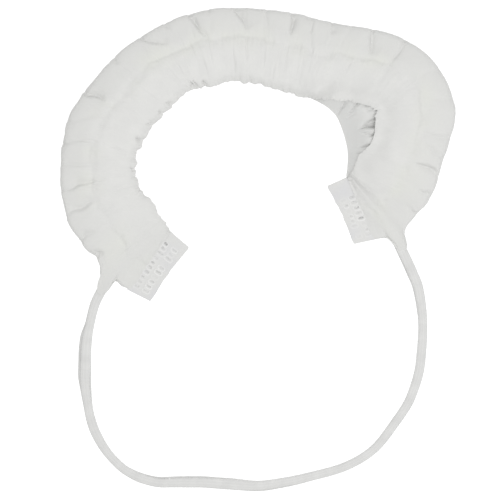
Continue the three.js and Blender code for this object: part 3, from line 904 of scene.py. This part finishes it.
# %% The far wall's fan of creases
# start: under the lip. tip: towards the far wall's edge. The other columns are as above.
MOUTH_CREASES = [
    # start, tip, depth, before, after
    ((0.0473, 0.0139), (0.0410, 0.0095), 0.0014, 0.0020, 0.0004),
    ((0.0473, 0.0112), (0.0408, 0.0095), 0.0048, 0.0004, 0.0024),
    ((0.0472, 0.0074), (0.0420, 0.0081), 0.0027, 0.0005, 0.0006),
    ((0.0452, 0.0024), (0.0406, 0.0032), 0.0028, 0.0007, 0.0007),
    ((0.0427, -0.0012), (0.0392, 0.0002), 0.0020, 0.0008, 0.0008),
    ((0.0437, 0.0192), (0.0455, 0.0158), 0.0016, 0.0006, 0.0006),
    ((0.0401, 0.0210), (0.0365, 0.0144), 0.0024, 0.0007, 0.0007),
    ((0.0345, 0.0215), (0.0327, 0.0155), 0.0024, 0.0007, 0.0007),
]
MOUTH_NARROWS = 0.8
MOUTH_GAP = 0.0013
MOUTH_REACH = 0.85
MOUTH_LEAST = 0.003
MOUTH_FULL = 0.004
FAR_FADE = (1.2, 2)

back_edge = between_rows(back_rows, section_along)
lip_edge = between_rows(lip_rows, section_along)
lip_height = between_rows(size_rows, section_along)[:, 1]
opening = np.linalg.norm(back_edge - lip_edge, axis=1)
rise = smoothstep(0, MOUTH_FULL, opening) * np.maximum(lip_height - MOUTH_GAP, 0)
run_in = np.maximum(MOUTH_REACH * opening, MOUTH_LEAST)
from_back = np.linalg.norm(cloth[:, :, :2] - back_edge[None], axis=2)
far_wall = 1 - smoothstep(*FAR_FADE, knot_across)[:, None]
climb = np.clip(from_back / run_in, 0, 1)
climb = (smoothstep(0, 1, climb) + climb * (2 - climb)) / 2
hump = rise * climb * far_wall
fan = sum(crease_draw(cloth, crease, MOUTH_NARROWS) for crease in MOUTH_CREASES) * far_wall
cloth[:, :, 2] = np.maximum(cloth[:, :, 2] + hump - np.minimum(fan, hump), CLOTH_CLEAR)
print("mouth: far wall up to", mm(hump.max()), "mm high")

# %% [markdown]
# The raised far wall must not come through the near wall above it. A search tree of the near wall's
# points, laid flat, finds the one over each raised point, and the far wall is held a gap below it.

# %% Keep the far wall under the near wall
ROOF_NEAR = 0.0006
ROOF_PAST_LIP = 0.5

is_roof = (knot_across > OUTER_KNOT) & (knot_across < LIP_KNOT + ROOF_PAST_LIP)
roof = cloth[is_roof].reshape(-1, 3)
roof_tree = kdtree.KDTree(len(roof))
for i, (x, y, _) in enumerate(roof):
    roof_tree.insert((x, y, 0), i)
roof_tree.balance()
lowered = 0
for row, column in zip(*np.nonzero(hump > MOUTH_GAP)):
    x, y, z = cloth[row, column]
    _, above, away = roof_tree.find((x, y, 0))
    limit = max(roof[above, 2] - MOUTH_GAP, CLOTH_CLEAR)
    if away < ROOF_NEAR and z > limit:
        cloth[row, column, 2] = limit
        lowered += 1
pouch, _, _ = cloth_piece("cloth_pouch", cloth, (gather_length, cut_width))
print("pouch:", len(pouch.data.polygons), "faces, far wall lowered at", lowered, "points")

# %% [markdown]
# ## The welded ends
# Each end of the sheet is fused flat by a hot tool, which leaves two rows of short pressed bars.
# The plate is a fine grid between the pouch's end and its own free edge, with the bars pressed into it,
# and it gets its thickness last. The depth of the press is kept as an attribute for the finish.

# %% Sizes of the welds
# root: the ends of the pouch's end section, the outer one first. free: the corners of the free edge.
# dip: how far the free edge is hollowed. bar rows: distance of each row of bars from the pouch's end.
# margins: how much of the weld has no bars at its outer end and at its lip end.
WELDS = {
    "weld_tab_left": {
        "root": ((-0.0508, -0.0547), (-0.0345, -0.0311)),
        "free": ((-0.0425, -0.0590), (-0.0270, -0.0375)),
        "dip": 0.0009,
        "bar_rows": (0.0012, 0.0054),
        "margins": (0.0030, 0.0030),
    },
    "weld_tab_right": {
        "root": ((0.0467, -0.0342), (0.0358, -0.0093)),
        "free": ((0.0384, -0.0360), (0.0277, -0.0128)),
        "dip": 0.0008,
        "bar_rows": (0.0014, 0.0054),
        "margins": (0.0028, 0.0062),
    },
}
print("welds:", *WELDS)

# %% The plan of a weld
TAB_OVERLAP = 0.0015
TAB_GRID = 0.0002
TAB_CORNER = 0.0005
CORNER_SHARPNESS = 16
WANDER_SIZE = 0.0030
WANDER_DEPTH = 0.0003
WANDER_SEED = 3


def weld_plan(root, free, dip, seed):
    """The weld's grid on the table, and how far along and down the weld each of its points is."""
    root, free = np.array(root), np.array(free)
    length = np.linalg.norm(root[1] - root[0])
    out = (free - root).mean(axis=0)
    depth = np.linalg.norm(out)
    columns = round(length / TAB_GRID) + 1
    rows = round((depth + TAB_OVERLAP) / TAB_GRID) + 1
    along = np.linspace(0, 1, columns)[None, :, None]
    down = np.linspace(-TAB_OVERLAP / depth, 1, rows)[:, None, None]
    wander = [noise.noise((a * length / WANDER_SIZE, seed, WANDER_SEED)) for a in along.ravel()]
    hollow = dip * 4 * along * (1 - along) + TAB_CORNER * (2 * along - 1) ** CORNER_SHARPNESS
    hollow = hollow + WANDER_DEPTH * np.array(wander)[None, :, None]
    free_line = free[0] * (1 - along) + free[1] * along - out / depth * hollow
    root_line = root[0] * (1 - along) + root[1] * along
    flat = root_line * (1 - down) + free_line * down
    run_along = np.broadcast_to(along[:, :, 0] * length, (rows, columns))
    run_down = np.broadcast_to(down[:, :, 0] * depth, (rows, columns))
    return flat, run_along, run_down


print("weld plan: a point every", mm(TAB_GRID), "mm")

# %% [markdown]
# No two bars are alike: the tool slips a little, presses harder on one than on the next, and pushes up a
# soft welt round each. So a bar is a rounded box whose place, length and depth come from noise.

# %% The pressed bars
BAR_PITCH = 0.0023
BAR_HALF_WIDTH = 0.00050
BAR_HALF_LENGTH = 0.0011
# The stroke and the welt lean to opposite sides, so the welds' colour puts painted shadow on one side of
# each bar and a painted highlight on the other.
BAR_LEAN = 0.0002
BAR_SLIP = 0.0004
BAR_STRETCH = 0.6
ROW_PRESS = (1.2, 0.55)
STROKE_EDGE = (1.3, 0.5)
WELT_AT = 1.6
WELT_HALF = 0.5
FIRM_MEAN = 0.6
FIRM_CHANGE = 1.3
FIRM_RANGE = (0.1, 1.0)
# along, row, shift: how fast the noise changes along a row and from row to row, and where it starts.
SLIP_NOISE = (700, 3.7, 5.1)
FIRM_NOISE = (900, 2.3, 0)


def bar_noise(pattern, place, row_number, seed):
    """Noise for one bar, from -1 to 1."""
    along, row, shift = pattern
    return noise.noise((place * along, row_number * row, seed + shift))


def pressed_bars(run_along, run_down, bar_rows, margins, seed):
    """How hard the weld is pressed at each point, and how high the welts round the bars are, from 0."""
    press = np.zeros_like(run_along)
    rim = np.zeros_like(run_along)
    lean = BAR_LEAN / BAR_HALF_WIDTH
    for row_number, down in enumerate(bar_rows):
        for place in np.arange(margins[0], run_along.max() - margins[1] + TINY, BAR_PITCH):
            slip = bar_noise(SLIP_NOISE, place, row_number, seed)
            firm = FIRM_MEAN + FIRM_CHANGE * bar_noise(FIRM_NOISE, place, row_number, seed)
            firm = np.clip(firm, *FIRM_RANGE)
            side = (run_along - place - BAR_SLIP * slip) / BAR_HALF_WIDTH
            front = (run_down - down - BAR_SLIP * slip) / (BAR_HALF_LENGTH * (1 + BAR_STRETCH * slip))
            stroke = smoothstep(*STROKE_EDGE, np.hypot(side - lean, front ** 2))
            welt = np.hypot(side + lean, front ** 2)
            press = np.maximum(press, firm * ROW_PRESS[row_number] * stroke)
            rim = np.maximum(rim, firm * np.exp(-((welt - WELT_AT) / WELT_HALF) ** 2))
    return press, rim


print("weld bars:", mm(BAR_PITCH), "mm apart")

# %% Make each welded end
TAB_TOP = 0.0013
TAB_THICKNESS = 0.0007
BAR_DEPTH = 0.00030
BAR_RIM = 0.00022
TAB_CRUMPLES = [
    # size, height
    (0.0050, 0.00022),
    (0.0016, 0.00009),
]


def weld_tab(name, root, free, dip, bar_rows, margins, seed):
    """A welded end as a piece, with its press and rim attributes."""
    flat, run_along, run_down = weld_plan(root, free, dip, seed)
    press, rim = pressed_bars(run_along, run_down, bar_rows, margins, seed)
    top = TAB_TOP - BAR_DEPTH * press + BAR_RIM * rim
    for size, height in TAB_CRUMPLES:
        top = top + height * place_noise(flat, size, seed)
    flat_size = (run_along.max(), run_down.max() + TAB_OVERLAP)
    tab, row, column = cloth_piece(name, np.dstack([flat, top]), flat_size)
    for kind, values in (("press", press), ("rim", rim)):
        attribute = tab.data.attributes.new(kind, "FLOAT", "POINT")
        attribute.data.foreach_set("value", values[row, column])
    bm = bmesh.new()
    bm.from_mesh(tab.data)
    bmesh.ops.recalc_face_normals(bm, faces=bm.faces)
    if sum(face.normal.z for face in bm.faces) < 0:
        bmesh.ops.reverse_faces(bm, faces=bm.faces)
    bmesh.ops.solidify(bm, geom=list(bm.faces), thickness=TAB_THICKNESS)
    bm.to_mesh(tab.data)
    bm.free()
    tab.data.shade_smooth()
    return tab


tabs = []
for seed, (name, sizes) in enumerate(WELDS.items()):
    tab = weld_tab(f"fused_{name}", **sizes, seed=seed)
    heights = [mm(v.co.z) for v in tab.data.vertices]
    print(tab.name, len(tab.data.polygons), "faces, from", min(heights), "to", max(heights), "mm")
    tabs.append(tab)

# %% [markdown]
# ## Finishes
# A finish is a tree of shader nodes. Written as sums it can be read: this class wraps one output socket,
# each operator adds the Math node for it, and one method adds any other node. The short methods after
# the operators are the few masks, noises and mixes that the finishes here share.

# %% Sums on shader sockets
# Places of the colour sockets of a Mix node, which has others of the same names.
MIX_FACTOR, MIX_FIRST, MIX_SECOND, MIX_RESULT = 0, 6, 7, 2


class Wire:
    """An output socket of a finish's nodes, which can take part in sums."""

    def __init__(self, tree, socket=None):
        self.tree = tree
        self.socket = socket

    def node(self, kind, settings, inputs, output=0):
        """Adds a node, sets it up, then fills or links its input sockets, and gives one output."""
        made = self.tree.nodes.new("ShaderNode" + kind)
        for name, value in settings.items():
            setattr(made, name, value)
        for place, value in inputs.items():
            if isinstance(value, Wire):
                self.tree.links.new(value.socket, made.inputs[place])
            else:
                made.inputs[place].default_value = value
        return Wire(self.tree, made.outputs[output])

    def maths(self, operation, *values):
        return self.node("Math", {"operation": operation}, dict(enumerate(values)))

    def __add__(self, other):
        return self.maths("ADD", self, other)

    def __sub__(self, other):
        return self.maths("SUBTRACT", self, other)

    def __rsub__(self, other):
        return self.maths("SUBTRACT", other, self)

    def __mul__(self, other):
        return self.maths("MULTIPLY", self, other)

    def __truediv__(self, other):
        return self.maths("DIVIDE", self, other)

    def __abs__(self):
        return self.maths("ABSOLUTE", self)

    __radd__ = __add__
    __rmul__ = __mul__

    def clipped(self):
        return self.node("Clamp", {}, {0: self})

    def over(self, level, gain):
        """How far the value is over a level, times the gain, from 0 to 1."""
        return ((self - level) * gain).clipped()

    def below(self, edge, fade):
        """0 from the edge on, rising to 1 where the value is lower than it by the fade."""
        return ((edge - self) / fade).clipped()

    def near(self, centre, reach):
        """1 at the centre, falling to 0 at the reach on either side."""
        return (1 - abs(self - centre) / reach).clipped()

    def waves(self, pitch):
        """Waves along this value, from -1 to 1, a pitch apart."""
        return self.maths("COSINE", self * (2 * np.pi / pitch))

    def as_share(self):
        """Waves from -1 to 1 as waves from 0 to 1."""
        return self * 0.5 + 0.5

    def part(self, axis):
        """One of the three numbers of this vector: X, Y or Z."""
        return self.node("SeparateXYZ", {}, {0: self}, output=axis)

    def stretched(self, scale):
        """This map with its own scale along each axis."""
        return self.node("Mapping", {}, {"Vector": self, "Scale": scale})

    def speckle(self, scale, detail, roughness):
        """Noise on this map, from 0 to 1."""
        inputs = {"Vector": self, "Scale": scale, "Detail": detail, "Roughness": roughness}
        return self.node("TexNoise", {}, inputs)

    def between(self, first, second):
        """A colour between two others, the second where this value is 1."""
        inputs = {MIX_FACTOR: self, MIX_FIRST: first, MIX_SECOND: second}
        return self.node("Mix", {"data_type": "RGBA"}, inputs, output=MIX_RESULT)

    def bump(self, strength, distance):
        """A normal for a surface with this height."""
        return self.node("Bump", {}, {"Strength": strength, "Distance": distance, "Height": self})


print("a Wire can:", *(name for name in vars(Wire) if not name.startswith("_")))

# %% [markdown]
# ### Non-woven cloth
# The cloth is spun plastic fibre, bonded by a pattern of tiny dots: matt, white with a grey cast, and
# thin enough to glow a little when light comes from behind. So part of its light goes through it, by a
# Translucent shader in a Mix Shader. An image of cloth would stretch over the folds, so the pattern is
# made of noise and waves on the cloth's own flat map, which follows every one of them.

# %% The cloth's patterns
BOND_PITCH = 0.0014
BOND_DOTS = {"level": 0.3, "gain": 2}
FIBRE_STRETCH = (1400, 3600, 1)
TICK_STRETCH = (1000, 260, 1)
FIBRES = {"scale": 1, "detail": 4, "roughness": 0.6}
MOTTLE = {"scale": 140, "detail": 3, "roughness": 0.55}
PATCHES = {"scale": 75, "detail": 2, "roughness": 0.5}
TICKS = {"scale": 1, "detail": 1, "roughness": 0.5}


def new_finish(name):
    """A new material, its Principled shader, and a Wire that its other nodes start from."""
    finish = bpy.data.materials.new(name)
    finish.use_nodes = True
    return finish, finish.node_tree.nodes["Principled BSDF"], Wire(finish.node_tree)


cloth_finish, shader, start = new_finish("non_woven_cloth")
flat_map = start.node("UVMap", {"uv_map": "flat"}, {})
along_map = flat_map.part("X")
across_map = flat_map.part("Y")
dots = (along_map.waves(BOND_PITCH) * across_map.waves(BOND_PITCH)).over(**BOND_DOTS)
fibres = flat_map.stretched(FIBRE_STRETCH).speckle(**FIBRES)
ticks = flat_map.stretched(TICK_STRETCH).speckle(**TICKS)
mottle = flat_map.speckle(**MOTTLE)
patches = flat_map.speckle(**PATCHES)
print("cloth patterns:", len(start.tree.nodes), "nodes")

# %% [markdown]
# White isn't one white here. The outer lobe, which slopes away from the light, and the left end get
# painted shade;
# the far wall, recessed under the lip in the mouth, gets the darkest painted shade; and a cream tint
# with painted shade lies along the gather line's valley.

# %% The cloth's whites and painted shade
CLOTH_WHITE = (0.752, 0.752, 0.734, 1)
CLOTH_CREAM_AND_SHADE = (0.722, 0.728, 0.690, 1)
CLOTH_SHADE = (0.712, 0.712, 0.698, 1)
CLOTH_PAINTED_SHADE = (0.700, 0.701, 0.685, 1)
CLOTH_FAR_WALL_SHADE = (0.655, 0.657, 0.645, 1)
SHADE_MOTTLE = {"level": 0.42, "gain": 2.2}
CREAM_AND_SHADE_PATCHES = {"level": 0.42, "gain": 4}
CREAM_AND_SHADE_BAND = {"centre": gather_at - 0.0010, "reach": 0.0070}
LOBE_SHADE_SHARE = 0.75
LOBE_EDGE = {"edge": gather_at, "fade": 0.003}
END_SHADE_SHARE = 1.2
END_EDGE = {"edge": 0.05, "fade": 0.05}
FAR_WALL_SHADE_EDGE = {"edge": fold_at - 0.010, "fade": 0.004}

colour = mottle.over(**SHADE_MOTTLE).between(CLOTH_SHADE, CLOTH_WHITE)
# Painted shade on the outer lobe, which slopes away from the light, and on the left end.
lobe_and_end_shade = across_map.below(**LOBE_EDGE) * LOBE_SHADE_SHARE + along_map.below(**END_EDGE) * END_SHADE_SHARE
colour = lobe_and_end_shade.clipped().between(colour, CLOTH_PAINTED_SHADE)
# A cream tint with painted shade, in patches along the valley of the gather line.
cream_and_shade = across_map.near(**CREAM_AND_SHADE_BAND) * patches.over(**CREAM_AND_SHADE_PATCHES)
colour = cream_and_shade.between(colour, CLOTH_CREAM_AND_SHADE)
# Painted shade on the far wall, which lies recessed under the lip in the mouth.
colour = across_map.below(**FAR_WALL_SHADE_EDGE).between(colour, CLOTH_FAR_WALL_SHADE)
print("cloth whites:", len(start.tree.nodes), "nodes")

# %% [markdown]
# Two marks of painted shade are finer than the mesh: dark shade in the small nips along the lip, and the
# faint broken shade line that the elastic draws along the gather line, which wanders and fades out
# before the right weld.

# %% Painted shade at the lip and the gather line
CLOTH_MARK_SHADE = (0.50, 0.50, 0.485, 1)
NIP_SHADE_BAND = {"centre": lip_at, "reach": 0.0024}
NIP_SHADE_MARKS = {"level": 0.52, "gain": 7}
NIP_SHADE_PATCHES = {"level": 0.38, "gain": 4}
THREAD_REACH = 0.0011
THREAD_WANDER = 0.005
THREAD_SHADE = 0.24
THREAD_PATCHES = {"level": 0.36, "gain": 4}
THREAD_END = {"edge": gather_length - 0.034, "fade": 0.02}
NOISE_MIDDLE = 0.5

# Painted shade in the small nips just inside the lip.
nip_shade = across_map.near(**NIP_SHADE_BAND) * ticks.over(**NIP_SHADE_MARKS) * patches.over(**NIP_SHADE_PATCHES)
colour = nip_shade.between(colour, CLOTH_MARK_SHADE)
# Painted shade along the gather line, where the elastic draws the cloth in.
thread_at = (mottle - NOISE_MIDDLE) * THREAD_WANDER + gather_at
thread_shade = across_map.near(thread_at, THREAD_REACH) * patches.over(**THREAD_PATCHES)
thread_shade = thread_shade * (along_map.below(**THREAD_END) * THREAD_SHADE)
colour = thread_shade.between(colour, CLOTH_MARK_SHADE)
print("cloth marks:", len(start.tree.nodes), "nodes")

# %% The cloth's shader
CLOTH_THROUGH = 0.1
CLOTH_ROUGH = 0.82
FIBRE_ROUGH = 0.14
DOT_SMOOTH = 0.1
DOT_DEPTH = 0.6
CLOTH_BUMP = {"strength": 0.35, "distance": 0.00006}
CLOTH_SHEEN = {"Sheen_Weight": 0.12, "Sheen_Roughness": 0.6, "Specular_IOR_Level": 0.3}


def feed(shader, **values):
    """Links or sets the shader's sockets of those names, with spaces for the underscores."""
    for name, value in values.items():
        socket = shader.inputs[name.replace("_", " ")]
        if isinstance(value, Wire):
            value.tree.links.new(value.socket, socket)
        else:
            socket.default_value = value


rough = CLOTH_ROUGH + fibres * FIBRE_ROUGH - dots * DOT_SMOOTH
normal = (fibres - dots * DOT_DEPTH).bump(**CLOTH_BUMP)
feed(shader, Base_Color=colour, Roughness=rough, Normal=normal, **CLOTH_SHEEN)
through = start.node("BsdfTranslucent", {}, {"Color": colour, "Normal": normal})
surface = Wire(start.tree, shader.outputs[0])
lit = start.node("MixShader", {}, {0: CLOTH_THROUGH, 1: surface, 2: through})
start.tree.links.new(lit.socket, start.tree.nodes["Material Output"].inputs["Surface"])
pouch.data.materials.append(cloth_finish)
print("cloth finish:", len(start.tree.nodes), "nodes")

# %% [markdown]
# ### Welded cloth
# Where the layers are fused the fibres have melted together: the bars are smoother, a little glassy and
# more see-through grey, and the cloth between them stays matt. The press attribute says where the bars
# are; their dark colour is that grey with painted shadow on one side. The welts get a painted highlight
# on the other side.

# %% The welds' finish
WELD_WHITE = (0.650, 0.650, 0.638, 1)
WELD_COOL = (0.628, 0.628, 0.635, 1)
WELD_RIM_HIGHLIGHT = (0.755, 0.755, 0.745, 1)
WELD_PRESSED_SHADOW = (0.42, 0.42, 0.415, 1)
WELD_FIBRES = {"scale": 2200, "detail": 4, "roughness": 0.6}
WELD_PATCHES = {"scale": 110, "detail": 1, "roughness": 0.5}
WELD_SPECKS = {"scale": 1100, "detail": 1, "roughness": 0.5}
SPECK_LEVEL = 0.3
SPECK_GAIN = 3
COOL_PATCHES = {"level": 0.4, "gain": 4}
WELD_ROUGH = 0.78
PRESS_SMOOTH = 0.4
WELD_FIBRE_ROUGH = 0.1
WELD_GLOSS = 0.4
WELD_BUMP = {"strength": 0.3, "distance": 0.00006}

weld_finish, shader, start = new_finish("welded_cloth")
press = start.node("Attribute", {"attribute_name": "press"}, {}, output="Fac")
rim = start.node("Attribute", {"attribute_name": "rim"}, {}, output="Fac")
place = start.node("TexCoord", {}, {}, output="Object")
fibres = place.speckle(**WELD_FIBRES)
patches = place.speckle(**WELD_PATCHES)
specks = place.speckle(**WELD_SPECKS)
# The pressed bars take the melted grey and painted shadow.
pressed_and_shaded = (press * ((specks - SPECK_LEVEL) * SPECK_GAIN)).clipped()
colour = patches.over(**COOL_PATCHES).between(WELD_WHITE, WELD_COOL)
# Painted highlight on the welts.
colour = rim.clipped().between(colour, WELD_RIM_HIGHLIGHT)
colour = pressed_and_shaded.between(colour, WELD_PRESSED_SHADOW)
rough = WELD_ROUGH - pressed_and_shaded * PRESS_SMOOTH + fibres * WELD_FIBRE_ROUGH
normal = (fibres * (1 - pressed_and_shaded)).bump(**WELD_BUMP)
feed(shader, Base_Color=colour, Roughness=rough, Normal=normal, Specular_IOR_Level=WELD_GLOSS)
for tab in tabs:
    tab.data.materials.append(weld_finish)
print("weld finish:", len(start.tree.nodes), "nodes")

# %% [markdown]
# ### Elastic tape
# The strap is a soft knitted tape: fine ribs run along it, crossed by the loops of the knit, and the
# whole is matt white. The ribs follow the tape round its section by its flat map.

# %% The strap's finish
TAPE_WHITE = (0.685, 0.685, 0.674, 1)
TAPE_SHADE = (0.600, 0.600, 0.592, 1)
RIB_PITCH = 0.0007
LOOP_PITCH = 0.0006
TAPE_FIBRES = {"scale": 2600, "detail": 4, "roughness": 0.6}
TAPE_MOTTLE = {"scale": 220, "detail": 2, "roughness": 0.5}
LOOP_SHARE = 0.3
FIBRE_HEIGHT = 0.4
MOTTLE_LEVEL = 0.3
MOTTLE_GAIN = 1.6
RIB_SHADE = 0.3
TAPE_ROUGH = 0.92
TAPE_FIBRE_SMOOTH = 0.1
TAPE_BUMP = {"strength": 0.35, "distance": 0.00010}
TAPE_SHEEN = {"Sheen_Weight": 0.15, "Specular_IOR_Level": 0.3}

tape_finish, shader, start = new_finish("elastic_tape")
flat_map = start.node("UVMap", {"uv_map": "flat"}, {})
ribs = flat_map.part("Y").waves(RIB_PITCH).as_share()
loops = flat_map.part("X").waves(LOOP_PITCH).as_share()
fibres = flat_map.speckle(**TAPE_FIBRES)
mottle = flat_map.speckle(**TAPE_MOTTLE)
# The grooves between the ribs get painted shade; the mottle is the tape's own uneven tone.
shade = ((mottle - MOTTLE_LEVEL) * MOTTLE_GAIN + ribs * RIB_SHADE).clipped()
colour = shade.between(TAPE_SHADE, TAPE_WHITE)
rough = TAPE_ROUGH - fibres * TAPE_FIBRE_SMOOTH
height = ribs * ((1 - LOOP_SHARE) + loops * LOOP_SHARE) + fibres * FIBRE_HEIGHT
feed(shader, Base_Color=colour, Roughness=rough, Normal=height.bump(**TAPE_BUMP), **TAPE_SHEEN)
strap.data.materials.append(tape_finish)
print("tape finish:", len(start.tree.nodes), "nodes")

# %% [markdown]
# ## Table and light
# The picture is a catalogue one: an even white ground, and soft light from all round with a little more
# from above the right side. The ground glows, so that it stays white under the object, as a light table
# does.

# %% The table
TABLE_HALF = 3
TABLE_GREY = (0.1, 0.1, 0.1, 1)
PLAIN_WHITE = (1, 1, 1, 1)
TABLE_GLOW = 1.05

bm = bmesh.new()
bmesh.ops.create_grid(bm, x_segments=1, y_segments=1, size=TABLE_HALF)
table = new_piece("table", bm)
table_finish, shader, _ = new_finish("white_table")
feed(shader, Base_Color=TABLE_GREY, Roughness=1)
feed(shader, Emission_Color=PLAIN_WHITE, Emission_Strength=TABLE_GLOW)
table.data.materials.append(table_finish)
print("table:", 2 * TABLE_HALF, "m wide")

# %% The light
SKY = 0.62
KEY_PLACE = (0.12, -0.08, 0.8)
KEY_SIZE = 0.57
KEY_POWER = 3.8

world = bpy.data.worlds.new("studio")
world.use_nodes = True
world.node_tree.nodes["Background"].inputs["Color"].default_value = PLAIN_WHITE
world.node_tree.nodes["Background"].inputs["Strength"].default_value = SKY
scene.world = world
scene.view_settings.view_transform = "Standard"

key_data = bpy.data.lights.new("key", "AREA")
key_data.size = KEY_SIZE
key_data.energy = KEY_POWER
key = bpy.data.objects.new("key", key_data)
key.location = KEY_PLACE
key.rotation_euler = (-Vector(KEY_PLACE)).to_track_quat("-Z", "Y").to_euler()
scene.collection.objects.link(key)
print("light: sky", SKY, "table", TABLE_GLOW, "key", KEY_POWER, "W")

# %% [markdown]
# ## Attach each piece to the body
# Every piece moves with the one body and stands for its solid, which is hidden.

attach(strap, "root")
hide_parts("head_elastic")
for tab, node in zip(tabs, WELDS):
    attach(tab, "root")
    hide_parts(node)
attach(pouch, "root")
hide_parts("cover_pouch")
